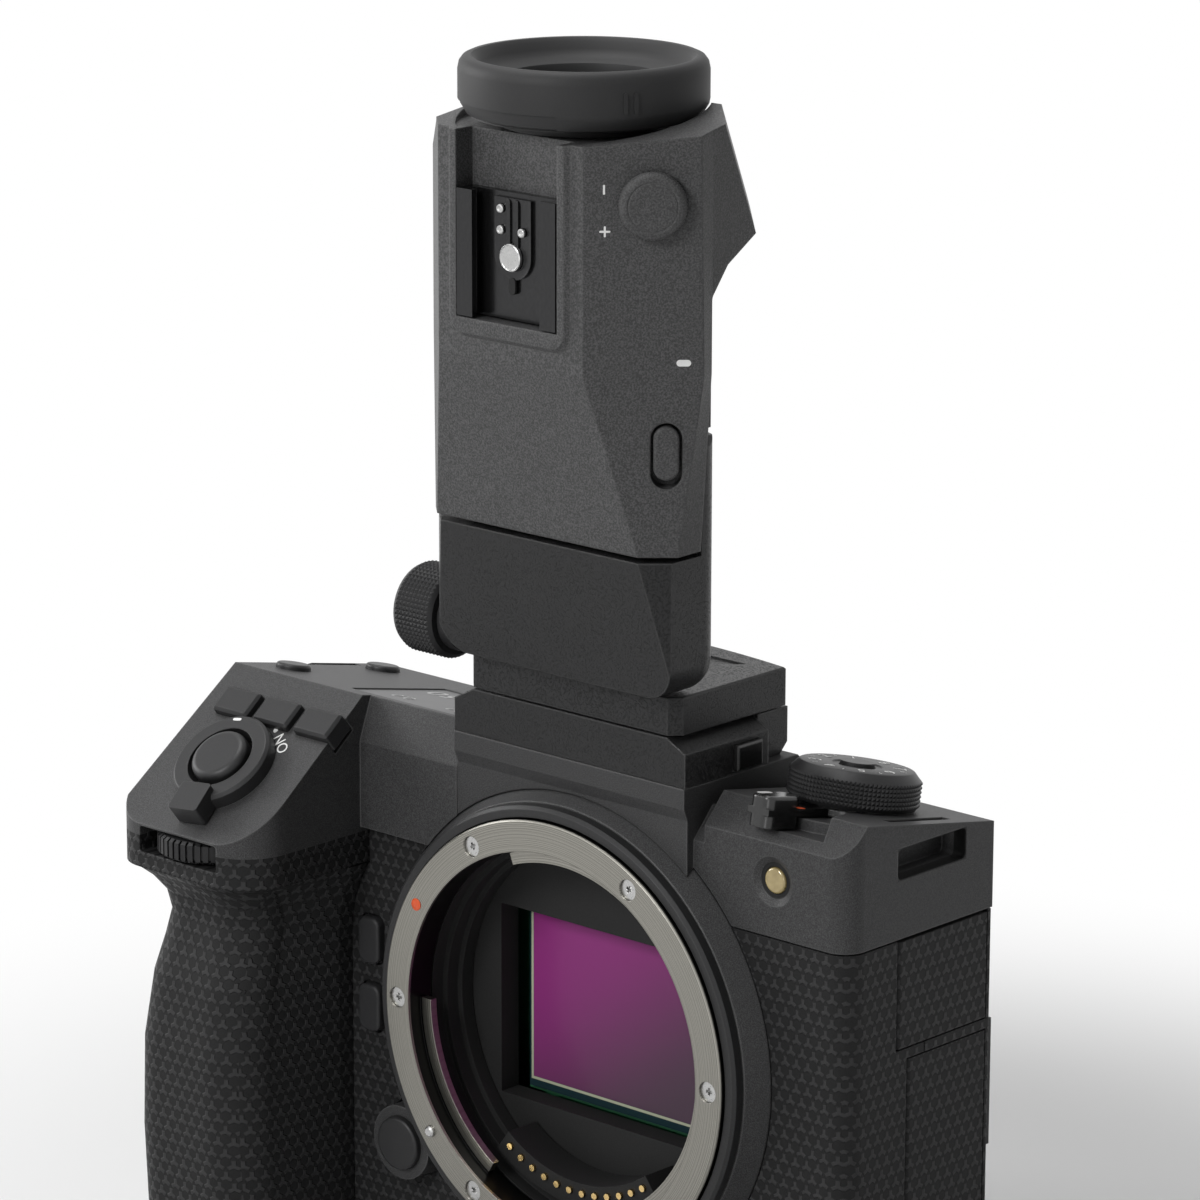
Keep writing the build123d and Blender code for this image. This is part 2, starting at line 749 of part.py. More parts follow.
# Top plate: right deck, hump, left deck and the shutter pod in one casting
shutter_plane = panel_plane(shutter_x, shutter_slope)
front_dial_y = front_dial_radius - front_dial_proud - pod_front
room_right = body_right - strap_depth - plate_wall
with BuildPart() as top_plate:
    with BuildSketch(Plane.YZ.offset(hump_half - overrun)):
        add(deck_outline(front_face, bevel_low - valley_depth, bevel_back,
                         right_deck_height - valley_depth, right_deck_fall, rear_face, shell_top))
    extrude(amount=deck_start - hump_half + 2 * overrun)
    with BuildSketch(Plane.YZ.offset(deck_start)):
        add(deck_outline(front_face, bevel_low, bevel_back, right_deck_height, right_deck_fall,
                         rear_face, shell_top))
    extrude(amount=body_right - deck_start)
    corner = top_plate.edges().filter_by(Axis.Z).group_by(Axis.X)[-1].sort_by(Axis.Y)[0]
    fillet(corner, radius=corner_radius)
    with BuildSketch(Plane.YZ.offset(-hump_half)):
        with BuildLine():
            Polyline((-hump_front, shell_top), (-hump_front, hump_step_low),
                     (-hump_front - hump_overhang, hump_step_high),
                     (-hump_front - hump_overhang, top_height), (base_rear, top_height),
                     (hump_rear, right_deck_height - right_deck_fall * hump_rear),
                     (rear_face, right_deck_height - right_deck_fall * rear_face),
                     (rear_face, shell_top), close=True)
        make_face()
    extrude(amount=2 * hump_half)
    with BuildSketch(Plane.YZ.offset(-body_left)):
        add(deck_outline(left_front, left_deck_height - left_bevel_drop, left_bevel_back,
                         left_deck_height, left_deck_fall, rear_face, shell_top))
    extrude(amount=body_left - hump_half)
    with BuildSketch(Plane.YZ.offset(-body_left)):
        with BuildLine():
            Polyline((-pod_front, pod_bottom), (-pod_front, pod_lip), (-pod_crest, left_crest_z),
                     (rear_face, left_deck_height - left_deck_fall * rear_face),
                     (rear_face, shell_top), (split, shell_top), (split, pod_bottom), close=True)
        make_face()
    extrude(amount=body_left - pod_inner)
    pod_corners = top_plate.edges().filter_by(Axis.Z).group_by(Axis.Y)[0].sort_by(Axis.X)
    fillet(pod_corners[-1], radius=pod_corner)
    pod_corners = top_plate.edges().filter_by(Axis.Z).group_by(Axis.Y)[0].sort_by(Axis.X)
    fillet(pod_corners[0], radius=grip_round_outer)
    with BuildSketch(Plane.XZ.offset(pod_front + overrun)):
        with BuildLine():
            Polyline((-body_left, pod_bottom), (pod_draft - body_left, left_crest_z),
                     (pod_draft - body_left, left_crest_z + overrun),
                     (-body_left - overrun, left_crest_z + overrun), (-body_left - overrun, pod_bottom),
                     close=True)
        make_face()
    extrude(amount=-pod_front - rear_face - 2 * overrun, mode=Mode.SUBTRACT)

    with BuildSketch(Plane.YZ.offset(-hollow_left)):
        add(deck_outline(front_face - plate_wall, bevel_low - roof, bevel_back,
                         right_deck_height - roof, right_deck_fall, rear_face - plate_wall, shell_top))
    extrude(amount=hollow_left + room_right, mode=Mode.SUBTRACT)
    with BuildSketch(Plane.XY.offset(pod_bottom)):
        with Locations((-(body_left - strap_depth - plate_wall + pod_inner + plate_wall) / 2,
                        (pod_hollow_rear - pod_hollow_front) / 2)):
            Rectangle(body_left - strap_depth - pod_inner - 2 * plate_wall,
                      pod_hollow_rear + pod_hollow_front)
    extrude(amount=pod_hollow_height, mode=Mode.SUBTRACT)
    with BuildSketch(lens_plane(barrel_depth + skin + gap)):
        Circle(barrel_radius + gap)
    extrude(amount=skin + gap, mode=Mode.SUBTRACT)
    with Locations(lens_plane(barrel_depth)):
        Cone(barrel_radius + gap, barrel_front_radius + gap, barrel_depth - trim_front - trim_depth,
             align=(Align.CENTER, Align.CENTER, Align.MIN), mode=Mode.SUBTRACT)
    with BuildSketch(lens_plane(barrel_depth + skin + shell_wall + gap)):
        Circle(barrel_radius - shell_wall + gap)
    extrude(amount=2 * overrun, mode=Mode.SUBTRACT)

    with BuildSketch(right_deck_plane(mode_x, mode_y, -still_disc_thick - 2 * gap)):
        Circle(still_disc + gap)
    extrude(amount=overrun, mode=Mode.SUBTRACT)
    with BuildSketch(right_deck_plane(mode_x, mode_y, -still_disc_thick - 2 * gap)):
        for turn in (0, still_travel / 2, still_travel):
            with PolarLocations(still_reach / 2 + overrun / 2, 1, start_angle=still_angle + turn):
                Rectangle(still_reach + overrun, still_width + 2 * gap)
    extrude(amount=overrun, mode=Mode.SUBTRACT)
    with BuildSketch(right_deck_plane(mode_x, mode_y, -still_disc_thick - 2 * gap - still_drop)):
        for turn in (0, still_travel / 2, still_travel):
            with PolarLocations(still_tab_start - gap + overrun / 2, 1, start_angle=still_angle + turn):
                Rectangle(overrun, still_width + 2 * gap)
    extrude(amount=overrun, mode=Mode.SUBTRACT)
    with BuildSketch(right_deck_plane(mode_x, mode_y)):
        Circle(mode_spindle + run)
    extrude(amount=-roof - overrun, mode=Mode.SUBTRACT)
    with BuildSketch(Plane.XZ.offset(front_face)):
        with Locations((lamp_x, lamp_z)):
            Circle(lamp_radius + run)
    extrude(amount=-lamp_depth - lamp_sink, mode=Mode.SUBTRACT)
    with Locations(Plane(origin=(lamp_x, lamp_sink - front_face, lamp_z), x_dir=(1, 0, 0), z_dir=(0, -1, 0))):
        Cone(lamp_bore, lamp_rim, lamp_sink, align=(Align.CENTER, Align.CENTER, Align.MIN),
             mode=Mode.SUBTRACT)
    for side in (body_right, -body_left):
        inwards = 1 if side > 0 else -1
        with BuildSketch(Plane.YZ.offset(side)):
            with Locations((strap_y, (strap_low + strap_high) / 2)):
                RectangleRounded(strap_length, strap_high - strap_low, strap_slit / 2)
        extrude(amount=-strap_depth * inwards, mode=Mode.SUBTRACT)
        with BuildSketch(Plane.XY.offset(strap_low + strap_slit)):
            with Locations((side - (strap_bar + strap_slit / 2) * inwards, strap_y)):
                Rectangle(strap_slit, strap_length - strap_slit)
        extrude(amount=2 * overrun, mode=Mode.SUBTRACT)
    with BuildSketch(left_deck_plane(monitor_x, monitor_y, -monitor_thick - monitor_sink)):
        RectangleRounded(monitor_width + 2 * bond, monitor_length + 2 * bond, edge_break + bond)
    extrude(amount=overrun, mode=Mode.SUBTRACT)
    for y in (top_button_front_y, top_button_rear_y):
        with BuildSketch(left_deck_plane(top_button_x, y)):
            Circle(top_button_radius + run)
        extrude(amount=-button_depth, mode=Mode.SUBTRACT)
    for index in range(panel_button_count):
        with BuildSketch(panel_plane(panel_button_first - index * panel_button_pitch, panel_button_slope)):
            RectangleRounded(panel_button_width + 2 * run, panel_button_height + 2 * run,
                             edge_break + run)
        extrude(amount=-button_depth, mode=Mode.SUBTRACT)
    with BuildSketch(shutter_plane):
        Circle(shutter_radius + run)
    extrude(amount=-shutter_depth - shutter_press - gap, mode=Mode.SUBTRACT)
    with BuildSketch(shutter_plane):
        Circle(lever_ring + run)
    extrude(amount=-lever_seat_depth, mode=Mode.SUBTRACT)
    with BuildSketch(Plane.XZ.offset(pod_front)):
        with Locations((-front_dial_x, front_dial_z)):
            RectangleRounded(dial_window_width, dial_window_height, edge_break)
    extrude(amount=-dial_window_depth, mode=Mode.SUBTRACT)
    with BuildSketch(Plane.XY.offset(front_dial_z - dial_window_height / 2)):
        with Locations((-front_dial_x, front_dial_y)):
            Circle(front_dial_radius + dial_clear)
    extrude(amount=dial_window_height, mode=Mode.SUBTRACT)
    with BuildSketch(Plane.XY.offset(rear_dial_z - dial_window_height / 2)):
        with Locations((-rear_dial_x, rear_dial_y)):
            Circle(rear_dial_radius + dial_clear)
    extrude(amount=dial_window_height, mode=Mode.SUBTRACT)
    with BuildSketch(Plane.XY.offset(front_dial_z - dial_window_height / 2 - dial_pin_length)):
        with Locations((-front_dial_x, front_dial_y)):
            Circle(dial_pin + run)
    extrude(amount=dial_window_height + 2 * dial_pin_length, mode=Mode.SUBTRACT)
    with BuildSketch(Plane.XY.offset(rear_dial_z - dial_window_height / 2 - dial_pin_length)):
        with Locations((-rear_dial_x, rear_dial_y)):
            Circle(dial_pin + run)
    extrude(amount=dial_window_height + 2 * dial_pin_length, mode=Mode.SUBTRACT)
top_plate.part.label = "top_plate"
export_step(top_plate.part, "parts/top_plate.step")

# Mount ring: face, collar and the three bayonet lugs behind it
with BuildPart() as mount_ring:
    with BuildSketch(lens_plane(mount_plate)):
        Circle(mount_outer)
    extrude(amount=mount_plate)
    with BuildSketch(lens_plane(mount_collar_depth)):
        Circle(mount_collar)
    extrude(amount=mount_collar_depth)
    with BuildSketch(lens_plane(0)):
        Circle(mount_inner)
    extrude(amount=-mount_collar_depth, mode=Mode.SUBTRACT)
    with BuildSketch(lens_plane(lug_front + lug_depth)):
        for start in lug_starts:
            with BuildLine():
                CenterArc((0, 0), mount_inner + run, start, lug_sweep)
                CenterArc((0, 0), lug_inner, start, lug_sweep)
                for angle in (radians(start), radians(start + lug_sweep)):
                    Line((lug_inner * cos(angle), lug_inner * sin(angle)),
                         ((mount_inner + run) * cos(angle), (mount_inner + run) * sin(angle)))
            make_face()
    extrude(amount=lug_depth)
    with BuildSketch(lens_plane(0)):
        with PolarLocations(screw_circle, screw_count):
            Circle(screw_head + run)
    extrude(amount=-screw_sink - screw_head_height, mode=Mode.SUBTRACT)
    with BuildSketch(lens_plane(0)):
        with PolarLocations(screw_circle, screw_count):
            Circle(screw_shank + run)
        with PolarLocations(screw_circle, 1, start_angle=lock_pin_angle):
            Circle(lock_pin_radius + run)
    extrude(amount=-mount_plate, mode=Mode.SUBTRACT)
    chamfer(mount_ring.edges().filter_by(GeomType.CIRCLE).group_by(Axis.Y)[0].sort_by(SortBy.RADIUS)[-1],
            length=edge_break / 2)
mount_ring.part.label = "mount_ring"
export_step(mount_ring.part, "parts/mount_ring.step")

# Mount screws, sunk in the face of the ring
with BuildPart() as mount_screws:
    with BuildSketch(lens_plane(screw_sink + screw_head_height)):
        with PolarLocations(screw_circle, screw_count):
            Circle(screw_head)
    extrude(amount=screw_head_height)
    with BuildSketch(lens_plane(screw_reach)):
        with PolarLocations(screw_circle, screw_count):
            Circle(screw_shank)
    extrude(amount=screw_reach - screw_sink - screw_head_height)
    with BuildSketch(lens_plane(screw_sink)):
        with PolarLocations(screw_circle, screw_count):
            Rectangle(2 * screw_shank, screw_slot)
            Rectangle(screw_slot, 2 * screw_shank)
    extrude(amount=-screw_shank, mode=Mode.SUBTRACT)
mount_screws.part.label = "mount_screws"
export_step(mount_screws.part, "parts/mount_screws.step")

# Trim ring round the mount
with BuildPart() as mount_trim_ring:
    with BuildSketch(lens_plane(trim_front + trim_depth)):
        Circle(trim_outer)
        Circle(trim_inner, mode=Mode.SUBTRACT)
    extrude(amount=trim_depth)
    chamfer(mount_trim_ring.edges().group_by(Axis.Y)[0].sort_by(SortBy.RADIUS)[-1],
            length=edge_break)
mount_trim_ring.part.label = "mount_trim_ring"
export_step(mount_trim_ring.part, "parts/mount_trim_ring.step")

# Light baffle: a stepped tube behind the mount
with BuildPart() as light_baffle:
    for index, radius in enumerate(baffle_radii):
        with BuildSketch(lens_plane(baffle_front + (index + 1) * baffle_step)):
            Circle(mount_collar)
            Circle(radius, mode=Mode.SUBTRACT)
        extrude(amount=baffle_step)
light_baffle.part.label = "light_baffle"
export_step(light_baffle.part, "parts/light_baffle.step")

# Contact block and its pins
contact_outer = baffle_radii[2] - bond
with BuildPart() as contact_block:
    with BuildSketch(lens_plane(contact_depth + contact_block_depth)):
        with BuildLine():
            CenterArc((0, 0), contact_outer, contact_start, contact_sweep)
            CenterArc((0, 0), contact_block_inner, contact_start, contact_sweep)
            for angle in (radians(contact_start), radians(contact_start + contact_sweep)):
                Line((contact_block_inner * cos(angle), contact_block_inner * sin(angle)),
                     (contact_outer * cos(angle), contact_outer * sin(angle)))
        make_face()
    extrude(amount=contact_block_depth)
    with BuildSketch(lens_plane(contact_depth)):
        with PolarLocations(contact_ring, contact_count, start_angle=contact_first,
                            angular_range=(contact_count - 1) * contact_pitch, endpoint=True):
            Circle(contact_pin + run)
    extrude(amount=-contact_length, mode=Mode.SUBTRACT)
contact_block.part.label = "contact_block"
export_step(contact_block.part, "parts/contact_block.step")

with BuildPart() as contact_pins:
    with BuildSketch(lens_plane(contact_depth + contact_length)):
        with PolarLocations(contact_ring, contact_count, start_angle=contact_first,
                            angular_range=(contact_count - 1) * contact_pitch, endpoint=True):
            Circle(contact_pin)
    extrude(amount=contact_length + contact_pin_proud)
contact_pins.part.label = "contact_pins"
export_step(contact_pins.part, "parts/contact_pins.step")

# Shutter frame round the image gate
with BuildPart() as shutter_frame:
    with BuildSketch(lens_plane(frame_front + frame_depth)):
        Circle(frame_radius)
        with Locations((0, -gate_drop)):
            Rectangle(gate_width, gate_height, mode=Mode.SUBTRACT)
    extrude(amount=frame_depth)
shutter_frame.part.label = "shutter_frame"
export_step(shutter_frame.part, "parts/shutter_frame.step")

# Sensor glass and the board that carries the chip and the glass holder
with BuildPart() as sensor_glass:
    with BuildSketch(lens_plane(glass_front + glass_thick)):
        with Locations((0, -gate_drop)):
            Rectangle(glass_width, glass_height)
    extrude(amount=glass_thick)
sensor_glass.part.label = "sensor_glass"
export_step(sensor_glass.part, "parts/sensor_glass.step")

with BuildPart() as sensor_board:
    with BuildSketch(lens_plane(flange_focal + chip_thick + board_thick)):
        with Locations((0, -gate_drop)):
            Rectangle(board_width, board_height)
    extrude(amount=board_thick)
    with BuildSketch(lens_plane(flange_focal + chip_thick)):
        with Locations((0, -gate_drop)):
            Rectangle(chip_width, chip_height)
    extrude(amount=chip_thick)
    with BuildSketch(lens_plane(flange_focal + chip_thick)):
        with Locations((0, -gate_drop)):
            Rectangle(glass_width + holder_wall, glass_height + holder_wall)
            Rectangle(glass_width - holder_wall, glass_height - holder_wall, mode=Mode.SUBTRACT)
    extrude(amount=flange_focal + chip_thick - glass_front - glass_thick)
sensor_board.part.label = "sensor_board"
export_step(sensor_board.part, "parts/sensor_board.step")

# Main board on four pillars behind the sensor
with BuildPart() as main_board:
    with BuildSketch(lens_plane(flange_focal + main_board_rise + main_board_thick)):
        Rectangle(main_board_width, main_board_height)
    extrude(amount=main_board_thick)
    with BuildSketch(lens_plane(flange_focal + main_board_rise)):
        with GridLocations(2 * pillar_x, 2 * pillar_z, 2, 2):
            Circle(pillar_radius)
    extrude(amount=main_board_rise - chip_thick - board_thick)
main_board.part.label = "main_board"
export_step(main_board.part, "parts/main_board.step")

# Focus lamp
with BuildPart() as af_lamp:
    with BuildSketch(Plane.XZ.offset(front_face - lamp_sink - lamp_depth)):
        with Locations((lamp_x, lamp_z)):
            Circle(lamp_radius)
    extrude(amount=lamp_depth + lamp_sink / 2)
    fillet(af_lamp.edges().group_by(Axis.Y)[0], radius=edge_break)
af_lamp.part.label = "af_lamp"
export_step(af_lamp.part, "parts/af_lamp.step")

# Top monitor glass
with BuildPart() as monitor_glass:
    with BuildSketch(left_deck_plane(monitor_x, monitor_y, -monitor_thick - monitor_sink)):
        RectangleRounded(monitor_width, monitor_length, edge_break)
    extrude(amount=monitor_thick)
monitor_glass.part.label = "monitor_glass"
export_step(monitor_glass.part, "parts/monitor_glass.step")

# Shutter button and the power lever round it
panel_normal = shutter_plane.z_dir
with BuildPart() as shutter_button:
    with BuildSketch(panel_plane(shutter_x, shutter_slope, -shutter_depth)):
        Circle(shutter_radius)
    extrude(amount=shutter_depth + shutter_proud)
    rim = shutter_button.edges().sort_by(Axis(shutter_plane.origin, panel_normal))[-1]
    fillet(rim, radius=shutter_edge)
shutter_button.part.label = "shutter_button"
export_step(shutter_button.part, "parts/shutter_button.step")

with BuildPart() as power_lever:
    with BuildSketch(panel_plane(shutter_x, shutter_slope, gap - lever_seat_depth)):
        Circle(lever_ring)
        Circle(lever_bore, mode=Mode.SUBTRACT)
    extrude(amount=lever_seat_depth - gap + lever_ring_height)
    rims = power_lever.edges().filter_by(GeomType.CIRCLE)
    outer_rim = rims.sort_by(Axis(shutter_plane.origin, panel_normal))[-2:].sort_by(SortBy.RADIUS)[-1]
    chamfer(outer_rim, length=edge_break)
    with BuildSketch(panel_plane(shutter_x, shutter_slope, gap)):
        with PolarLocations((lever_bore + edge_break + lever_tab_reach) / 2, 1, start_angle=lever_angle):
            RectangleRounded(lever_tab_reach - lever_bore - edge_break, lever_tab_width, edge_break)
    extrude(amount=lever_tab_height)
power_lever.part.label = "power_lever"
export_step(power_lever.part, "parts/power_lever.step")

# Three buttons on the sloping panel
for index in range(panel_button_count):
    button_x = panel_button_first - index * panel_button_pitch
    with BuildPart() as panel_button:
        with BuildSketch(panel_plane(button_x, panel_button_slope, press + gap - button_depth)):
            RectangleRounded(panel_button_width, panel_button_height, edge_break)
        extrude(amount=button_depth - press - gap + panel_button_proud)
        top_face = panel_button.faces().sort_by(Axis(shutter_plane.origin, panel_normal))[-1]
        chamfer(top_face.edges(), length=panel_button_bevel / 2)
    panel_button.part.label = f"panel_button_{index + 1}"
    export_step(panel_button.part, f"parts/panel_button_{index + 1}.step")

# Front and rear dials, upright wheels on short pins
with BuildPart() as front_dial:
    with BuildSketch(Plane.XY.offset(front_dial_z - front_dial_height / 2)):
        with Locations((-front_dial_x, front_dial_y)):
            Circle(front_dial_radius)
    extrude(amount=front_dial_height)
    chamfer(front_dial.edges().filter_by(GeomType.CIRCLE), length=edge_break)
    with BuildSketch(Plane.XY.offset(front_dial_z - front_dial_height / 2 - dial_pin_length)):
        with Locations((-front_dial_x, front_dial_y)):
            Circle(dial_pin)
    extrude(amount=front_dial_height + 2 * dial_pin_length)
front_dial.part.label = "front_dial"
export_step(front_dial.part, "parts/front_dial.step")

with BuildPart() as rear_dial:
    with BuildSketch(Plane.XY.offset(rear_dial_z - rear_dial_height / 2)):
        with Locations((-rear_dial_x, rear_dial_y)):
            Circle(rear_dial_radius)
    extrude(amount=rear_dial_height)
    chamfer(rear_dial.edges().filter_by(GeomType.CIRCLE), length=edge_break)
    with BuildSketch(Plane.XY.offset(rear_dial_z - rear_dial_height / 2 - dial_pin_length)):
        with Locations((-rear_dial_x, rear_dial_y)):
            Circle(dial_pin)
    extrude(amount=rear_dial_height + 2 * dial_pin_length)
rear_dial.part.label = "rear_dial"
export_step(rear_dial.part, "parts/rear_dial.step")

# Mode dial with its lock button, and the lever under it
deck_axis = Axis((mode_x, mode_y, right_deck_height), right_deck_plane(mode_x, mode_y).z_dir)
with BuildPart() as mode_dial:
    with BuildSketch(right_deck_plane(mode_x, mode_y, mode_lift)):
        Circle(mode_radius)
    extrude(amount=mode_height)
    chamfer(mode_dial.edges().sort_by(deck_axis)[-1], length=mode_bevel)
    with BuildSketch(right_deck_plane(mode_x, mode_y, mode_lift)):
        Circle(mode_spindle)
    extrude(amount=-mode_lift - mode_spindle_length)
    with BuildSketch(right_deck_plane(mode_x, mode_y, mode_lift + mode_height)):
        Circle(mode_lock_radius + run)
    extrude(amount=-button_depth, mode=Mode.SUBTRACT)
mode_dial.part.label = "mode_dial"
export_step(mode_dial.part, "parts/mode_dial.step")

with BuildPart() as dial_lock:
    with BuildSketch(right_deck_plane(mode_x, mode_y, mode_lift + mode_height - button_depth + press)):
        Circle(mode_lock_radius)
    extrude(amount=button_depth - press + mode_lock_proud)
dial_lock.part.label = "dial_lock"
export_step(dial_lock.part, "parts/dial_lock.step")

with BuildPart() as still_movie_lever:
    with BuildSketch(right_deck_plane(mode_x, mode_y, -still_disc_thick - gap)):
        Circle(still_disc)
        with PolarLocations(still_reach / 2, 1, start_angle=still_angle):
            Rectangle(still_reach, still_width)
        Circle(mode_spindle + run, mode=Mode.SUBTRACT)
    extrude(amount=still_disc_thick)
    with BuildSketch(right_deck_plane(mode_x, mode_y, -still_disc_thick - gap - still_drop)):
        with PolarLocations((still_reach + still_tab_start) / 2, 1, start_angle=still_angle):
            RectangleRounded(still_reach - still_tab_start, still_width, still_width / 3)
    extrude(amount=still_drop + still_disc_thick + still_height)
    fillet(still_movie_lever.edges().sort_by(deck_axis)[-8:], radius=edge_break)
still_movie_lever.part.label = "still_movie_lever"
export_step(still_movie_lever.part, "parts/still_movie_lever.step")

# Lens release button and the lock pin that it draws back
with BuildPart() as lens_release_button:
    with BuildSketch(lens_plane(release_boss_front + release_depth)):
        with Locations((-release_x, release_z - lens_height)):
            Circle(release_radius)
    extrude(amount=release_depth + release_proud)
    fillet(lens_release_button.edges().group_by(Axis.Y)[0], radius=edge_break)
lens_release_button.part.label = "lens_release_button"
export_step(lens_release_button.part, "parts/lens_release_button.step")

with BuildPart() as lens_lock_pin:
    with BuildSketch(lens_plane(lock_pin_length)):
        with PolarLocations(screw_circle, 1, start_angle=lock_pin_angle):
            Circle(lock_pin_radius)
    extrude(amount=lock_pin_length + lock_pin_proud)
    chamfer(lens_lock_pin.edges().group_by(Axis.Y)[0], length=edge_break / 2)
lens_lock_pin.part.label = "lens_lock_pin"
export_step(lens_lock_pin.part, "parts/lens_lock_pin.step")

# Two buttons on the front, beside the mount
for index, button_z in enumerate(front_button_zs):
    with BuildPart() as front_button:
        with BuildSketch(Plane.XZ.offset(front_face - skin - shell_wall)):
            with Locations((-front_button_x, button_z)):
                RectangleRounded(front_button_width, front_button_height, front_button_width / 3)
        extrude(amount=skin + shell_wall + front_button_proud)
        fillet(front_button.faces().sort_by(Axis.Y)[0].edges(), radius=edge_break)
    front_button.part.label = f"front_button_{index + 1}"
    export_step(front_button.part, f"parts/front_button_{index + 1}.step")

# Two round buttons on the left deck
for index, button_y in enumerate((top_button_front_y, top_button_rear_y)):
    with BuildPart() as top_button:
        with BuildSketch(left_deck_plane(top_button_x, button_y, press + gap - button_depth)):
            Circle(top_button_radius)
        extrude(amount=button_depth - press - gap + top_button_proud)
        fillet(top_button.edges().sort_by(Axis.Z)[-1], radius=edge_break)
    top_button.part.label = f"top_button_{index + 1}"
    export_step(top_button.part, f"parts/top_button_{index + 1}.step")

# Focus stick and two buttons on the back
with BuildPart() as focus_stick:
    with Locations((-stick_x, rear_face - shell_wall / 2, stick_z)):
        Sphere(stick_ball)
    with BuildSketch(rear_control_plane):
        with Locations((stick_x, stick_z)):
            Circle(stick_neck)
    extrude(amount=stick_neck_length + edge_break)
    with BuildSketch(rear_control_plane.offset(stick_neck_length)):
        with Locations((stick_x, stick_z)):
            Circle(stick_radius)
    extrude(amount=stick_proud - stick_neck_length)
    fillet(focus_stick.edges().group_by(Axis.Y)[-1], radius=edge_break)
focus_stick.part.label = "focus_stick"
export_step(focus_stick.part, "parts/focus_stick.step")

for index, button_z in enumerate(rear_button_zs):
    with BuildPart() as rear_button:
        with BuildSketch(rear_control_plane.offset(-shell_wall)):
            with Locations((rear_button_x, button_z)):
                Circle(rear_button_radius)
        extrude(amount=shell_wall + rear_button_proud)
        fillet(rear_button.edges().group_by(Axis.Y)[-1], radius=edge_break)
    rear_button.part.label = f"rear_button_{index + 1}"
    export_step(rear_button.part, f"parts/rear_button_{index + 1}.step")

# Screen: an arm that tips out at its top edge, and a frame that swings on the arm
screen_rear = rear_face + gap + screen_arm_thick + gap
frame_pivot_x = screen_thick / 2 - screen_left
frame_pivot_y = screen_rear + screen_thick / 2
screen_middle = ((screen_right - screen_left) / 2, (screen_high + screen_low) / 2)
with BuildPart() as screen_arm:
    with BuildSketch(Plane.XZ.offset(-rear_face - gap)):
        with Locations(screen_middle):
            Rectangle(screen_right + screen_left, screen_high - screen_low)
    extrude(amount=-screen_arm_thick)
    tops = screen_arm.edges().filter_by(Axis.X).group_by(Axis.Z)[-1]
    fillet(tops, radius=screen_arm_thick / 2 - run)
    with BuildSketch(Plane.YZ.offset(-screen_left - screen_pin_length - gap)):
        with Locations((arm_pivot_y, arm_pivot_z)):
            Circle(screen_pin)
    extrude(amount=screen_right + screen_left + 2 * screen_pin_length + 2 * gap)
    for low in (screen_low, screen_high - screen_notch):
        with BuildSketch(Plane.XY.offset(low)):
            with Locations((frame_pivot_x, frame_pivot_y)):
                Circle(screen_thick / 2)
            with Locations((frame_pivot_x, (screen_rear - gap + frame_pivot_y) / 2)):
                Rectangle(screen_thick, frame_pivot_y - screen_rear + gap)
        extrude(amount=screen_notch)
    with BuildSketch(Plane.XY.offset(screen_low)):
        with Locations((frame_pivot_x, frame_pivot_y)):
            Circle(screen_pin + run)
    extrude(amount=screen_high - screen_low, mode=Mode.SUBTRACT)
screen_arm.part.label = "screen_arm"
export_step(screen_arm.part, "parts/screen_arm.step")

with BuildPart() as screen_frame:
    with BuildSketch(Plane.XZ.offset(-screen_rear)):
        with Locations(screen_middle):
            Rectangle(screen_right + screen_left, screen_high - screen_low)
    extrude(amount=-screen_thick)
    hinge_edges = screen_frame.edges().filter_by(Axis.Z).group_by(Axis.X)[0]
    fillet(hinge_edges, radius=screen_thick / 2 - run)
    for low in (screen_low, screen_high - screen_notch - gap):
        with BuildSketch(Plane.XY.offset(low)):
            with Locations((frame_pivot_x, frame_pivot_y)):
                Rectangle(screen_thick + 2 * gap, screen_thick + 2 * overrun)
        extrude(amount=screen_notch + gap, mode=Mode.SUBTRACT)
    with BuildSketch(Plane.XY.offset(screen_low + gap)):
        with Locations((frame_pivot_x, frame_pivot_y)):
            Circle(screen_pin)
    extrude(amount=screen_high - screen_low - 2 * gap)
    with BuildSketch(Plane.XZ.offset(-screen_rear - screen_thick)):
        with Locations(screen_middle):
            Rectangle(screen_right + screen_left - 2 * screen_border,
                      screen_high - screen_low - 2 * screen_border)
    extrude(amount=screen_glass_thick, mode=Mode.SUBTRACT)
    with BuildSketch(Plane.XZ.offset(-screen_rear - screen_thick)):
        with Locations((screen_right - screen_tab_width / 2, screen_tab_z)):
            Rectangle(screen_tab_width, screen_tab_height)
    extrude(amount=-screen_tab_proud)
screen_frame.part.label = "screen_frame"
export_step(screen_frame.part, "parts/screen_frame.step")

with BuildPart() as screen_glass:
    with BuildSketch(Plane.XZ.offset(-screen_rear - screen_thick)):
        with Locations(screen_middle):
            Rectangle(screen_right + screen_left - 2 * screen_border - 2 * bond,
                      screen_high - screen_low - 2 * screen_border - 2 * bond)
    extrude(amount=screen_glass_thick)
screen_glass.part.label = "screen_glass"
export_step(screen_glass.part, "parts/screen_glass.step")

# Terminal doors on the side, each hinged along its front edge
for name, front, low, high in doors:
    with BuildPart() as terminal_door:
        with BuildSketch(Plane.XY.offset(low)):
            with Locations((body_right - door_thick / 2, (front + door_rear) / 2)):
                Rectangle(door_thick, door_rear - front)
        extrude(amount=high - low)
        hinge_edges = terminal_door.edges().filter_by(Axis.Z).group_by(Axis.Y)[0]
        fillet(hinge_edges, radius=door_thick / 2 - run)
    terminal_door.part.label = name
    export_step(terminal_door.part, f"parts/{name}.step")

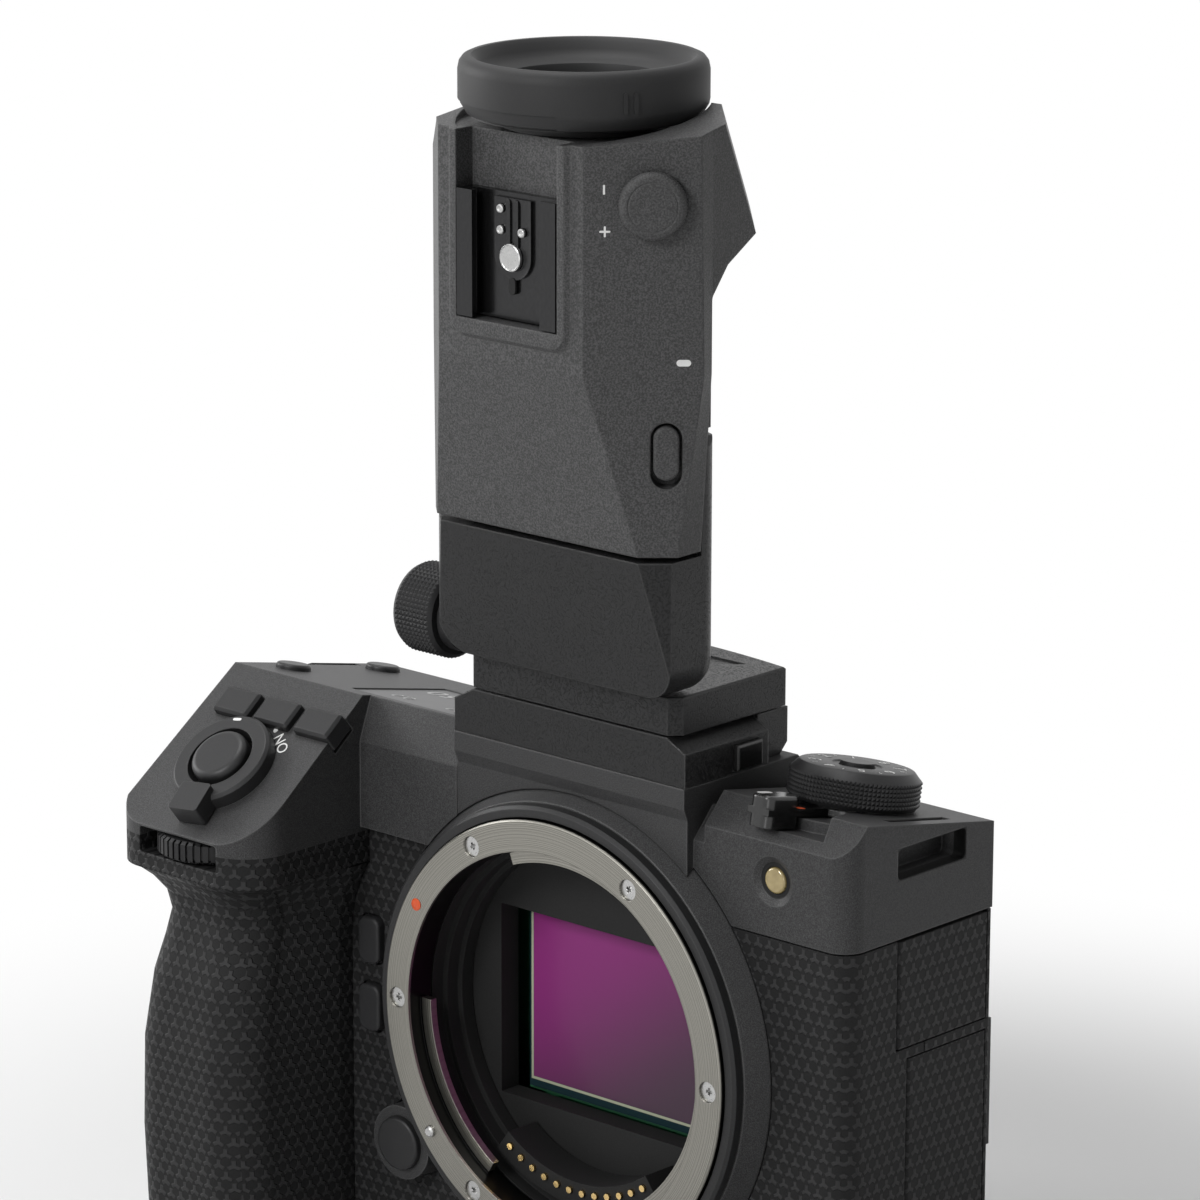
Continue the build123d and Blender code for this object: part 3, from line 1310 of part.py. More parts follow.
# Card door on the grip side
with BuildPart() as card_door:
    with BuildSketch(Plane.XY.offset(card_door_low)):
        with Locations((door_thick / 2 - body_left, (card_door_front + card_door_rear) / 2)):
            Rectangle(door_thick, card_door_rear - card_door_front)
    extrude(amount=card_door_high - card_door_low)
    hinge_edges = card_door.edges().filter_by(Axis.Z).group_by(Axis.Y)[0]
    fillet(hinge_edges, radius=door_thick / 2 - run)
card_door.part.label = "card_door"
export_step(card_door.part, "parts/card_door.step")

# Battery door under the grip, hinged along its rear edge
with BuildPart() as battery_door:
    with BuildSketch():
        with Locations((-(battery_door_outer + battery_door_inner) / 2,
                        (battery_door_front + battery_door_rear) / 2)):
            Rectangle(battery_door_outer - battery_door_inner, battery_door_rear - battery_door_front)
    extrude(amount=door_thick)
    hinge_edges = battery_door.edges().filter_by(Axis.X).group_by(Axis.Y)[-1]
    fillet(hinge_edges, radius=door_thick / 2 - run)
battery_door.part.label = "battery_door"
export_step(battery_door.part, "parts/battery_door.step")

# Adapter base on the hump, with a bore for the swivel pin and two catch pockets
base_top = top_height + base_height
plate_low = base_top + gap
plate_top = plate_low + plate_height
with BuildPart() as adapter_base:
    with BuildSketch(Plane.XY.offset(top_height)):
        with Locations((0, (base_rear - base_front) / 2)):
            Rectangle(2 * base_half, base_rear + base_front)
        with Locations((0, (shoulder_rear - base_front) / 2)):
            Rectangle(2 * hump_half, shoulder_rear + base_front)
    extrude(amount=base_height)
    for side in (-1, 1):
        with BuildSketch(Plane.XZ.offset(base_front)):
            with BuildLine():
                Polyline((side * hump_half, top_height + shoulder_low), (side * shoulder_top_half, base_top),
                         (side * hump_half, base_top), close=True)
            make_face()
        extrude(amount=-base_front - shoulder_rear, mode=Mode.SUBTRACT)
        with BuildSketch(Plane.YZ.offset(side * hump_half)):
            with Locations((catch_y, top_height + catch_z)):
                Rectangle(catch_length + 2 * run, catch_height + 2 * run)
        extrude(amount=-side * catch_depth, mode=Mode.SUBTRACT)
    rear_low = adapter_base.edges().filter_by(Axis.X).group_by(Axis.Y)[-1].sort_by(Axis.Z)[0]
    chamfer(rear_low, length=plate_corner)
    with BuildSketch(Plane.XY.offset(base_top)):
        with Locations((0, swivel_y)):
            Circle(swivel_pin + run)
    extrude(amount=-swivel_pin_length - swivel_pin_clear, mode=Mode.SUBTRACT)
adapter_base.part.label = "adapter_base"
export_step(adapter_base.part, "parts/adapter_base.step")

for name, side in (("adapter_release_left", 1), ("adapter_release_right", -1)):
    with BuildPart() as adapter_release:
        with BuildSketch(Plane.YZ.offset(side * (hump_half + catch_proud))):
            with Locations((catch_y, top_height + catch_z)):
                Rectangle(catch_length, catch_height)
        extrude(amount=-side * (catch_proud + catch_depth - catch_travel - gap))
        outer = adapter_release.faces().sort_by(Axis.X)[-1 if side > 0 else 0].edges()
        chamfer(outer, length=edge_break / 2)
    adapter_release.part.label = name
    export_step(adapter_release.part, f"parts/{name}.step")

# Swivel plate: turns on its pin and carries the tilt knuckle
hinge_z = plate_top + hinge_rise
with BuildPart() as swivel_plate:
    with BuildSketch(Plane.XY.offset(plate_low)):
        with BuildLine():
            Polyline((-base_half, plate_rear_side), (-base_half, plate_corner - plate_front),
                     (plate_corner - base_half, -plate_front), (base_half - plate_corner, -plate_front),
                     (base_half, plate_corner - plate_front), (base_half, plate_rear_side))
            ThreePointArc((base_half, plate_rear_side), (0, plate_rear), (-base_half, plate_rear_side))
        make_face()
    extrude(amount=plate_height)
    chamfer(swivel_plate.edges().group_by(Axis.Z)[-1], length=edge_break / 2)
    with BuildSketch(Plane.XY.offset(plate_low)):
        with Locations((0, swivel_y)):
            Circle(swivel_pin)
    extrude(amount=-swivel_pin_length)
    with BuildSketch(Plane.XY.offset(plate_top)):
        with BuildLine():
            Polyline((-label_half, label_y + label_length / 2), (label_length - label_half, label_y
                     - label_length / 2), (label_half - label_length, label_y - label_length / 2),
                     (label_half, label_y + label_length / 2), close=True)
        make_face()
    extrude(amount=-label_depth, mode=Mode.SUBTRACT)
    with BuildSketch(Plane.YZ.offset(-hinge_half)):
        with Locations((hinge_y, hinge_z)):
            Circle(hinge_barrel)
        with Locations((hinge_y, (plate_top + hinge_z) / 2)):
            Rectangle(2 * hinge_barrel, hinge_rise)
    extrude(amount=2 * hinge_half)
    with BuildSketch(Plane.YZ.offset(-hinge_half)):
        with Locations((hinge_y, hinge_z)):
            Circle(hinge_pin + run)
    extrude(amount=2 * hinge_half, mode=Mode.SUBTRACT)
swivel_plate.part.label = "swivel_plate"
export_step(swivel_plate.part, "parts/swivel_plate.step")


def facet_cut(front):
    """Two wedges, in plan, that the slanting front facets take off a block."""
    with BuildSketch() as wedges:
        for side in (-1, 1):
            with BuildLine():
                Polyline((side * finder_front_half, -front), (side * (finder_front_half + 2 * overrun),
                         2 * overrun * facet_slope - front), (side * (finder_front_half + 2 * overrun),
                         -front - overrun), (side * finder_front_half, -front - overrun), close=True)
            make_face()
    return wedges.sketch


# Tilt arm: a leaning block over the knuckle, with a back plate for the viewfinder
arm_top = arm_bottom + arm_height
arm_top_front = arm_front + arm_lean * arm_height
arm_plate_front = arm_rear + arm_back_thick
with BuildPart() as tilt_arm:
    with BuildSketch(Plane.XZ.offset(arm_rear)):
        with Locations((0, arm_bottom + arm_back_top / 2)):
            Rectangle(2 * arm_half, arm_back_top)
    extrude(amount=arm_top_front - arm_rear)
    bottom_corners = tilt_arm.edges().filter_by(Axis.Y).group_by(Axis.Z)[0]
    fillet(bottom_corners, radius=arm_bottom_round)
    top_corners = tilt_arm.edges().filter_by(Axis.Y).group_by(Axis.Z)[-1]
    chamfer(top_corners, length=arm_back_chamfer)
    heel = tilt_arm.edges().filter_by(Axis.X).group_by(Axis.Z)[0].sort_by(Axis.Y)[-1]
    fillet(heel, radius=arm_heel_round)
    with BuildSketch(Plane.YZ.offset(-arm_half)):
        with BuildLine():
            Polyline((-arm_front, arm_bottom), (-arm_top_front, arm_top), (-arm_top_front - overrun, arm_top),
                     (-arm_top_front - overrun, arm_bottom), close=True)
        make_face()
        with BuildLine():
            Polyline((-arm_plate_front, arm_top), (-arm_plate_front, arm_bottom + arm_back_top),
                     (-arm_top_front - overrun, arm_bottom + arm_back_top),
                     (-arm_top_front - overrun, arm_top), close=True)
        make_face()
    extrude(amount=2 * arm_half, mode=Mode.SUBTRACT)
    with BuildSketch(Plane.XY.offset(arm_bottom)):
        add(facet_cut(finder_front))
    extrude(amount=arm_back_top, mode=Mode.SUBTRACT)
    with BuildSketch(Plane.XZ.offset(slot_front)):
        with Locations((0, arm_bottom)):
            Rectangle(2 * slot_half, 2 * slot_height)
    extrude(amount=-slot_front, mode=Mode.SUBTRACT)
    with BuildSketch(Plane.YZ.offset(-arm_half)):
        with Locations((hinge_y, hinge_z)):
            Circle(hinge_pin + run)
    extrude(amount=arm_half + axle_end + gap, mode=Mode.SUBTRACT)
tilt_arm.part.label = "tilt_arm"
export_step(tilt_arm.part, "parts/tilt_arm.step")

# Tilt axle, from the knob through the arm and the knuckle
knob_start = arm_half + gap
with BuildPart() as tilt_axle:
    with BuildSketch(Plane.YZ.offset(-knob_start - axle_in_knob)):
        with Locations((hinge_y, hinge_z)):
            Circle(hinge_pin)
    extrude(amount=knob_start + axle_in_knob + axle_end)
tilt_axle.part.label = "tilt_axle"
export_step(tilt_axle.part, "parts/tilt_axle.step")

with BuildPart() as tilt_knob:
    with BuildSketch(Plane.YZ.offset(-knob_start)):
        with Locations((hinge_y, hinge_z)):
            Circle(knob_flange)
    extrude(amount=-knob_flange_length)
    with BuildSketch(Plane.YZ.offset(-knob_start - knob_flange_length)):
        with Locations((hinge_y, hinge_z)):
            Circle(knob_radius)
    extrude(amount=-knob_length)
    chamfer(tilt_knob.edges().group_by(Axis.X)[0], length=edge_break)
    with BuildSketch(Plane.YZ.offset(-knob_start)):
        with Locations((hinge_y, hinge_z)):
            Circle(hinge_pin + run)
    extrude(amount=-axle_in_knob - gap, mode=Mode.SUBTRACT)
tilt_knob.part.label = "tilt_knob"
export_step(tilt_knob.part, "parts/tilt_knob.step")

# Viewfinder housing: lofted through its sections, less its room
finder_low = arm_top + finder_gap


def finder_section(index):
    """Plan of the viewfinder at one of its levels, with slanting facets beside the flat front."""
    half = finder_halves[index]
    flat_half = finder_front_half + (finder_front - finder_fronts[index]) / facet_slope
    points = [(finder_shift - flat_half, -finder_fronts[index]),
              (finder_shift + flat_half, -finder_fronts[index])]
    points.append((half, (half - finder_front_half - finder_shift) * facet_slope - finder_front))
    points.append((finder_rear_halves[index], -finder_rear_low))
    points.append((-finder_rear_halves[index], -finder_rear_low))
    points.append((-half, (half - finder_front_half + finder_shift) * facet_slope - finder_front))
    with BuildSketch() as outline:
        with BuildLine():
            Polyline(*points, close=True)
        make_face()
    return outline.sketch


flare_half = finder_rear_halves[-1]
flare_tip, flare_rim = flare_outline[4:6]
flare_back = -flare_tip[0]
flare_side = flare_half - flare_draw
flare_plane = Plane(origin=(0, flare_back, finder_low + flare_tip[1]), x_dir=(1, 0, 0),
                    z_dir=(0, flare_tip[0] - flare_rim[0], flare_rim[1] - flare_tip[1]))
with BuildPart() as finder_flare:
    with BuildSketch(Plane.YZ.offset(-flare_half)):
        with BuildLine():
            FilletPolyline(*[(-ahead, finder_low + rise) for ahead, rise in flare_outline],
                           radius=flare_round, close=True)
        make_face()
    extrude(amount=2 * flare_half)
    for side in (-1, 1):
        with BuildSketch(Plane.XY.offset(finder_low)):
            with BuildLine():
                Polyline((side * flare_half, -finder_rear_low), (side * flare_side, flare_back),
                         (side * flare_side, flare_back + overrun),
                         (side * (flare_half + overrun), flare_back + overrun),
                         (side * (flare_half + overrun), -finder_rear_low), close=True)
            make_face()
        extrude(amount=flare_rim[1] + overrun, mode=Mode.SUBTRACT)
    with BuildSketch(flare_plane):
        for side in (-1, 1):
            with BuildLine():
                Polyline((side * (flare_side + overrun), -flare_corner - overrun),
                         (side * (flare_side - flare_corner - overrun), overrun),
                         (side * (flare_side + overrun), overrun), close=True)
            make_face()
    extrude(amount=flare_rim[1], both=True, mode=Mode.SUBTRACT)

with BuildPart() as finder_room:
    with BuildSketch(Plane.XY.offset(finder_low + finder_wall)):
        with Locations((0, -(room_front + finder_rear_low + finder_wall) / 2)):
            Rectangle(2 * room_half, room_front - finder_rear_low - finder_wall)
    extrude(amount=arm_bottom + finder_height - finder_low - 3 * finder_wall)
    with BuildSketch(Plane.XY.offset(finder_low + room_step)):
        with Locations((0, -(room_front + room_rear) / 2)):
            Rectangle(2 * room_half, room_front - room_rear)
    extrude(amount=arm_bottom + finder_height - finder_low - room_step - 2 * finder_wall)

facet_turn = atan(facet_slope)


def facet_place(along, height, out=0):
    """Plane on the slanting facet of the door side: local x along the facet, local z outwards."""
    return Plane(origin=(finder_front_half + finder_shift + along * cos(facet_turn) + out * sin(facet_turn),
                         along * sin(facet_turn) - finder_front - out * cos(facet_turn),
                         arm_bottom + height),
                 x_dir=(cos(facet_turn), sin(facet_turn), 0), z_dir=(sin(facet_turn), -cos(facet_turn), 0))


facet_plane = facet_place(dioptre_along, dioptre_z)
finder_side = max(finder_halves)
top_room = finder_low + finder_rises[-1] + overrun
top_rear_low = finder_top_low + finder_top_rise * (finder_front + overrun)
with BuildPart() as evf_housing:
    for index, rise in enumerate(finder_rises):
        with BuildSketch(Plane.XY.offset(finder_low + rise)):
            add(finder_section(index))
    loft(ruled=True)
    add(finder_flare.part)
    with BuildSketch(Plane.XZ.offset(finder_front)):
        with Locations((finder_shift, arm_bottom + (frame_low + finder_top_low + overrun) / 2)):
            RectangleRounded(2 * frame_half, finder_top_low + overrun - frame_low, frame_round)
    extrude(amount=frame_proud, taper=45)
    with BuildSketch(Plane.YZ.offset(-finder_side)):
        with BuildLine():
            Polyline((-finder_front - overrun, arm_bottom + finder_top_low - finder_top_rise * overrun),
                     (overrun, arm_bottom + top_rear_low), (overrun, top_room),
                     (-finder_front - overrun, top_room), close=True)
        make_face()
    extrude(amount=2 * finder_side, mode=Mode.SUBTRACT)
    with BuildSketch(Plane.XZ.offset(finder_front + overrun)):
        with BuildLine():
            Polyline((-finder_side, arm_bottom + finder_shoulder), (-finder_top_half, arm_bottom
                     + finder_height), (-finder_top_half, top_room),
                     (-finder_side, top_room), close=True)
        make_face()
    extrude(amount=-finder_front - 2 * overrun, mode=Mode.SUBTRACT)
    with BuildSketch(Plane.XY.offset(arm_bottom + finder_height)):
        with Locations((0, -eyecup_y)):
            Circle(eyecup_radius + gap)
    extrude(amount=overrun, mode=Mode.SUBTRACT)
    with BuildSketch(Plane.XZ.offset(rail_rear)):
        with Locations((0, arm_bottom + (rail_low + rail_high) / 2)):
            Rectangle(2 * rail_half, rail_high - rail_low)
    extrude(amount=finder_rear_low - rail_rear)
    add(finder_room.part, mode=Mode.SUBTRACT)
    with BuildSketch(Plane.XZ.offset(finder_front)):
        with Locations((finder_shift, arm_bottom + shoe_low + finder_height / 2)):
            Rectangle(2 * shoe_half + 2 * gap, finder_height)
    extrude(amount=frame_proud, mode=Mode.SUBTRACT)
    with BuildSketch(Plane.XZ.offset(finder_front)):
        with Locations((finder_shift, arm_bottom + shoe_low + finder_height / 2)):
            Rectangle(2 * shoe_half + 2 * gap, finder_height)
    extrude(amount=-shoe_recess, mode=Mode.SUBTRACT)
    with BuildSketch(Plane.XY.offset(arm_bottom + finder_height)):
        with Locations((0, -eyecup_y)):
            Circle(eyepiece_radius + run)
    extrude(amount=-2 * finder_wall, mode=Mode.SUBTRACT)
    with BuildSketch(facet_plane):
        Circle(dioptre_pin + run)
    extrude(amount=-dioptre_pin_length, mode=Mode.SUBTRACT)
    with BuildSketch(facet_place(slider_along, slider_z)):
        with Locations((0, -slider_travel / 2)):
            SlotOverall(slider_length + slider_travel + 2 * slider_clear,
                        slider_width + 2 * slider_clear, rotation=90)
    extrude(amount=-slider_depth - gap, mode=Mode.SUBTRACT)
evf_housing.part.label = "evf_housing"
export_step(evf_housing.part, "parts/evf_housing.step")

# Hot shoe: a floor with two lipped rails
shoe_floor_depth = finder_front - shoe_recess
with BuildPart() as hot_shoe:
    with BuildSketch(Plane.XY.offset(arm_bottom + shoe_low + gap)):
        with Locations((finder_shift, -shoe_floor_depth - shoe_rise / 2)):
            Rectangle(2 * shoe_half, shoe_rise)
        with Locations((finder_shift, -shoe_floor_depth - shoe_rise / 2 - shoe_floor / 2)):
            Rectangle(2 * shoe_slot_half, shoe_rise - shoe_floor, mode=Mode.SUBTRACT)
        for side in (-1, 1):
            with Locations((finder_shift + side * (shoe_slot_half - shoe_lip / 2),
                            -shoe_floor_depth - shoe_rise + shoe_lip_thick / 2)):
                Rectangle(shoe_lip, shoe_lip_thick)
    extrude(amount=shoe_length - gap)
    with BuildSketch(Plane.XZ.offset(shoe_floor_depth + shoe_floor)):
        with Locations((finder_shift, arm_bottom + shoe_low + shoe_length / 2)):
            Circle(shoe_contact)
    extrude(amount=shoe_contact_proud)
hot_shoe.part.label = "hot_shoe"
export_step(hot_shoe.part, "parts/hot_shoe.step")

# Dioptre dial on the slanting facet
facet_axis = Axis(facet_plane.origin, facet_plane.z_dir)
with BuildPart() as dioptre_dial:
    with BuildSketch(facet_plane.offset(gap)):
        Circle(dioptre_radius)
    extrude(amount=dioptre_height)
    chamfer(dioptre_dial.edges().sort_by(facet_axis)[-1], length=edge_break)
    with BuildSketch(facet_plane.offset(gap)):
        Circle(dioptre_pin)
    extrude(amount=-dioptre_pin_length)
dioptre_dial.part.label = "dioptre_dial"
export_step(dioptre_dial.part, "parts/dioptre_dial.step")

# Release slider on the same facet
with BuildPart() as evf_release:
    with BuildSketch(facet_place(slider_along, slider_z, slider_proud)):
        SlotOverall(slider_length, slider_width, rotation=90)
    extrude(amount=-slider_proud - slider_depth)
    chamfer(evf_release.faces().sort_by(facet_axis)[-1].edges(), length=edge_break / 2)
evf_release.part.label = "evf_release"
export_step(evf_release.part, "parts/evf_release.step")

# Eyecup: a soft dished ring on the viewfinder's top, round the eyepiece lens
finder_top = arm_bottom + finder_height
with BuildPart() as eyecup:
    with BuildSketch(Plane(origin=(0, -eyecup_y, arm_bottom), x_dir=(1, 0, 0), z_dir=(0, -1, 0))):
        with BuildLine():
            Polyline((eyecup_floor, finder_height), (eyecup_neck, finder_height),
                     (eyecup_neck, eyecup_low), (eyecup_foot, eyecup_low),
                     (eyecup_radius, eyecup_low + eyecup_foot_rise),
                     (eyecup_radius, eyecup_high - eyecup_lip))
            RadiusArc((eyecup_radius, eyecup_high - eyecup_lip),
                      (eyecup_radius - eyecup_lip, eyecup_high), -eyecup_lip)
            Line((eyecup_radius - eyecup_lip, eyecup_high), (eyecup_dish + eyecup_lip, eyecup_high))
            RadiusArc((eyecup_dish + eyecup_lip, eyecup_high),
                      (eyecup_dish, eyecup_high - eyecup_lip), -eyecup_lip)
            Polyline((eyecup_dish, eyecup_high - eyecup_lip), (eyecup_floor,
                     eyecup_high - eyecup_dish_depth), (eyecup_floor, finder_height))
        make_face()
    revolve(axis=Axis((0, -eyecup_y, 0), (0, 0, 1)))
eyecup.part.label = "eyecup"
export_step(eyecup.part, "parts/eyecup.step")

with BuildPart() as eyepiece_lens:
    with BuildSketch(Plane.XY.offset(finder_top - finder_wall)):
        with Locations((0, -eyecup_y)):
            Circle(eyepiece_radius)
    extrude(amount=eyepiece_edge)
    fillet(eyepiece_lens.edges().group_by(Axis.Z)[-1], radius=eyepiece_dome)
eyepiece_lens.part.label = "eyepiece_lens"
export_step(eyepiece_lens.part, "parts/eyepiece_lens.step")
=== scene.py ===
from math import atan, cos, pi, radians, sin, sqrt

import bpy
from mathutils import Matrix, Vector


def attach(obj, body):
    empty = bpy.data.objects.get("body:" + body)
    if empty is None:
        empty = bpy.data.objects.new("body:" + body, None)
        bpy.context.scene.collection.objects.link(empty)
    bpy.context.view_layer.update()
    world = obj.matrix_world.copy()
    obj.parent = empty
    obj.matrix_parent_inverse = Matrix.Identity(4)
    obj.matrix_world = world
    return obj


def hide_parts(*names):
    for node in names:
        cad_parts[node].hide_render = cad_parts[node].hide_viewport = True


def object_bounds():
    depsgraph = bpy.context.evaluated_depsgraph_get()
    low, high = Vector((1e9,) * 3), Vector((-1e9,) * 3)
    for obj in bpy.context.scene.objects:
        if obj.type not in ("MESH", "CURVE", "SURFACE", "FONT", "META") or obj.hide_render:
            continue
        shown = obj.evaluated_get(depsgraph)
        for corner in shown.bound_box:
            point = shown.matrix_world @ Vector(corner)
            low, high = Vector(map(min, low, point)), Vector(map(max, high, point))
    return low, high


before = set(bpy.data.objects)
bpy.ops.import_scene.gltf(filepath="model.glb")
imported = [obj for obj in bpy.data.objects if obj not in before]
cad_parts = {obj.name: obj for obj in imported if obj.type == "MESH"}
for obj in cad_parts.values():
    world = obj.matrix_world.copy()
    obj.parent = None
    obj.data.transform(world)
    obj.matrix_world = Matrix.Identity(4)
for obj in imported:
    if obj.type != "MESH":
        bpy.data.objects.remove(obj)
cad_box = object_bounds()
bpy.ops.object.select_all(action="DESELECT")

# The photograph's viewpoint: a long lens from the front left of the camera, a little above it.
view_place = (0.63744, -0.70789, 0.37683)
view_turn = 42.54
view_down = 14.575
view_roll = 0.125
bpy.ops.object.camera_add(location=view_place)
viewer = bpy.context.object
viewer.matrix_world = (Matrix.Translation(view_place) @ Matrix.Rotation(radians(view_turn), 4, "Z")
                       @ Matrix.Rotation(radians(90 - view_down), 4, "X")
                       @ Matrix.Rotation(radians(view_roll), 4, "Z"))
lens_length = 164.9
film_width = 36
viewer.data.lens = lens_length
viewer.data.sensor_width = film_width
viewer.data.clip_start = 0.01
bpy.context.scene.camera = viewer
bpy.context.scene.view_settings.view_transform = "Standard"


# Studio lamps: large and soft, as on a product table.
def soft_lamp(name, place, size, power):
    """A large soft lamp that faces the middle of the object."""
    bpy.ops.object.light_add(type="AREA", location=place)
    lamp = bpy.context.object
    lamp.name = name
    lamp.data.size = size
    lamp.data.energy = power
    middle = (cad_box[0] + cad_box[1]) / 2
    lamp.rotation_euler = (Vector(place) - middle).to_track_quat("Z", "Y").to_euler()


soft_lamp("lamp_above", (-0.25, 0.0, 1.0), 0.5, 5)
soft_lamp("lamp_front", (-0.05, -1.05, 0.75), 0.4, 8)
soft_lamp("lamp_low", (0.42, -0.95, 0.16), 0.28, 0.6)
soft_lamp("lamp_left", (-0.9, -0.3, 0.4), 0.4, 4)


# Body castings: magnesium shells with a fine, slightly sparkling dark grey paint, with a painted
# highlight along the edges. They are screwed together and stay as CAD solids.
class Field:
    """A shader value that Python's own signs can work on."""

    def __init__(self, finish, socket):
        self.finish = finish
        self.socket = socket

    def sum(self, operation, first, second=0.0, third=0.0):
        return self.finish.node("ShaderNodeMath", {"operation": operation},
                                {0: first, 1: second, 2: third})[0]

    def __add__(self, other):
        return self.sum("ADD", self, other)

    def __radd__(self, other):
        return self.sum("ADD", other, self)

    def __sub__(self, other):
        return self.sum("SUBTRACT", self, other)

    def __rsub__(self, other):
        return self.sum("SUBTRACT", other, self)

    def __mul__(self, other):
        return self.sum("MULTIPLY", self, other)

    def __rmul__(self, other):
        return self.sum("MULTIPLY", other, self)

    def __truediv__(self, other):
        return self.sum("DIVIDE", self, other)

    def __gt__(self, other):
        return self.sum("GREATER_THAN", self, other)

    def __lt__(self, other):
        return self.sum("LESS_THAN", self, other)

    def __abs__(self):
        return self.sum("ABSOLUTE", self)

    def __mod__(self, other):
        return self.sum("FLOORED_MODULO", self, other)

    def root(self):
        return self.sum("SQRT", self)

    def most(self, other):
        return self.sum("MAXIMUM", self, other)

    def least(self, other):
        return self.sum("MINIMUM", self, other)

    def rise(self, start, stop):
        """0 below start, 1 above stop, and a smooth step between."""
        return self.finish.node("ShaderNodeMapRange", {"interpolation_type": "SMOOTHSTEP"},
                                {0: self, 1: start, 2: stop, 3: 0.0, 4: 1.0})[0]


class Finish:
    """One material: a Principled shader, and one method that adds every other node."""

    def __init__(self, name, **plain):
        self.material = bpy.data.materials.new(name)
        self.material.use_nodes = True
        self.tree = self.material.node_tree
        self.shader = self.tree.nodes["Principled BSDF"]
        for key, value in plain.items():
            self.set(key.replace("_", " ").title().replace("Ior", "IOR"), value)

    def set(self, key, value):
        if isinstance(value, Field):
            self.tree.links.new(value.socket, self.shader.inputs[key])
        elif isinstance(value, tuple) and len(value) == 3 and key != "Normal":
            self.shader.inputs[key].default_value = (*value, 1.0)
        else:
            self.shader.inputs[key].default_value = value

    def node(self, kind, settings, inputs):
        made = self.tree.nodes.new(kind)
        for key, value in settings.items():
            setattr(made, key, value)
        for key, value in inputs.items():
            if isinstance(value, Field):
                self.tree.links.new(value.socket, made.inputs[key])
            elif isinstance(value, tuple) and len(value) == 3 and made.inputs[key].type == "RGBA":
                made.inputs[key].default_value = (*value, 1.0)
            else:
                made.inputs[key].default_value = value
        return [Field(self, out) for out in made.outputs if out.enabled]

    def place(self):
        """The object's own coordinates in millimetres."""
        where = self.node("ShaderNodeTexCoord", {}, {})[3]
        return self.node("ShaderNodeVectorMath", {"operation": "SCALE"}, {0: where, 3: 1000.0})[0]

    def axes(self, where):
        """A place's x, y and z one by one."""
        return self.node("ShaderNodeSeparateXYZ", {}, {0: where})

    def noise(self, where, scale, detail=2.0, rough=0.5):
        return self.node("ShaderNodeTexNoise", {}, {"Vector": where, "Scale": scale,
                                                    "Detail": detail, "Roughness": rough})[0]

    def mix(self, part, first, second):
        """A colour between two others."""
        return self.node("ShaderNodeMix", {"data_type": "RGBA"}, {0: part, 6: first, 7: second})[0]

    def edges(self, width):
        """1 along sharp outer and inner edges, 0 on flat faces."""
        rounded = self.node("ShaderNodeBevel", {"samples": 4}, {"Radius": width / 1000})[0]
        true = self.node("ShaderNodeNewGeometry", {}, {})[1]
        meet = self.node("ShaderNodeVectorMath", {"operation": "DOT_PRODUCT"},
                         {0: rounded, 1: true})[0]
        return (1 - meet).rise(0.01, 0.16)

    def bump(self, height, depth, strength=1.0, edge=None):
        """Relief in millimetres, over rounded edges where a radius is given."""
        settings = {"Height": height, "Distance": depth / 1000, "Strength": strength}
        if edge:
            rounded = self.node("ShaderNodeBevel", {"samples": 4}, {"Radius": edge / 1000})[0]
            settings["Normal"] = rounded
        self.set("Normal", self.node("ShaderNodeBump", {}, settings)[0])


def coat(finish, *names):
    """Gives CAD nodes or pieces one finish."""
    for name in names:
        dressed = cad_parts.get(name) or bpy.data.objects[name]
        dressed.data.materials.clear()
        dressed.data.materials.append(finish.material)


hide_valley = (0.008, 0.008, 0.0082)
hide_top = (0.027, 0.027, 0.0275)
hide_depth = 0.22
boss_pitch = 2.6
arm_half = 0.10            # of the pitch
arm_foot = 0.17
arm_end = 0.38
arm_tip = 0.45
side_facing = 0.72


def hide_relief(finish, where, axes):
    """Rows of small three-armed bosses, as moulded in the covering, and its own grain."""
    facing = finish.node("ShaderNodeNewGeometry", {}, {})[1]
    facing_x = abs(finish.axes(facing)[0]) > side_facing
    across = (axes[0] * (1 - facing_x) + axes[1] * facing_x) / boss_pitch
    upwards = axes[2] / boss_pitch
    row = sqrt(3)
    near_u = across % 1.0 - 0.5
    near_v = upwards % row - row / 2
    far_u = (across + 0.5) % 1.0 - 0.5
    far_v = (upwards + row / 2) % row - row / 2
    first_cell = (near_u * near_u + near_v * near_v) < (far_u * far_u + far_v * far_v)
    cell_u = near_u * first_cell + far_u * (1 - first_cell)
    cell_v = near_v * first_cell + far_v * (1 - first_cell)
    boss = None
    for arm_turn in (90, 210, 330):
        along = cell_u * cos(radians(arm_turn)) + cell_v * sin(radians(arm_turn))
        beside = abs(cell_v * cos(radians(arm_turn)) - cell_u * sin(radians(arm_turn)))
        arm = 1 - beside.rise(arm_half, arm_foot)
        arm = arm * along.rise(-0.1, -0.02) * (1 - along.rise(arm_end, arm_tip))
        boss = arm if boss is None else boss.most(arm)
    return boss, finish.noise(where, 4.0, 2.0)


paint_depth = 0.055
unlit = (0.010, 0.010, 0.010)
focus_lamp_x = 46.1
focus_lamp_z = 90.7
focus_bore = 3.3
bar_side = 60.4            # strap bar, in the window on the door side
bar_foot = 91.2
bar_top = 97.1
bar_middle = 3.5
bar_half = 9.4


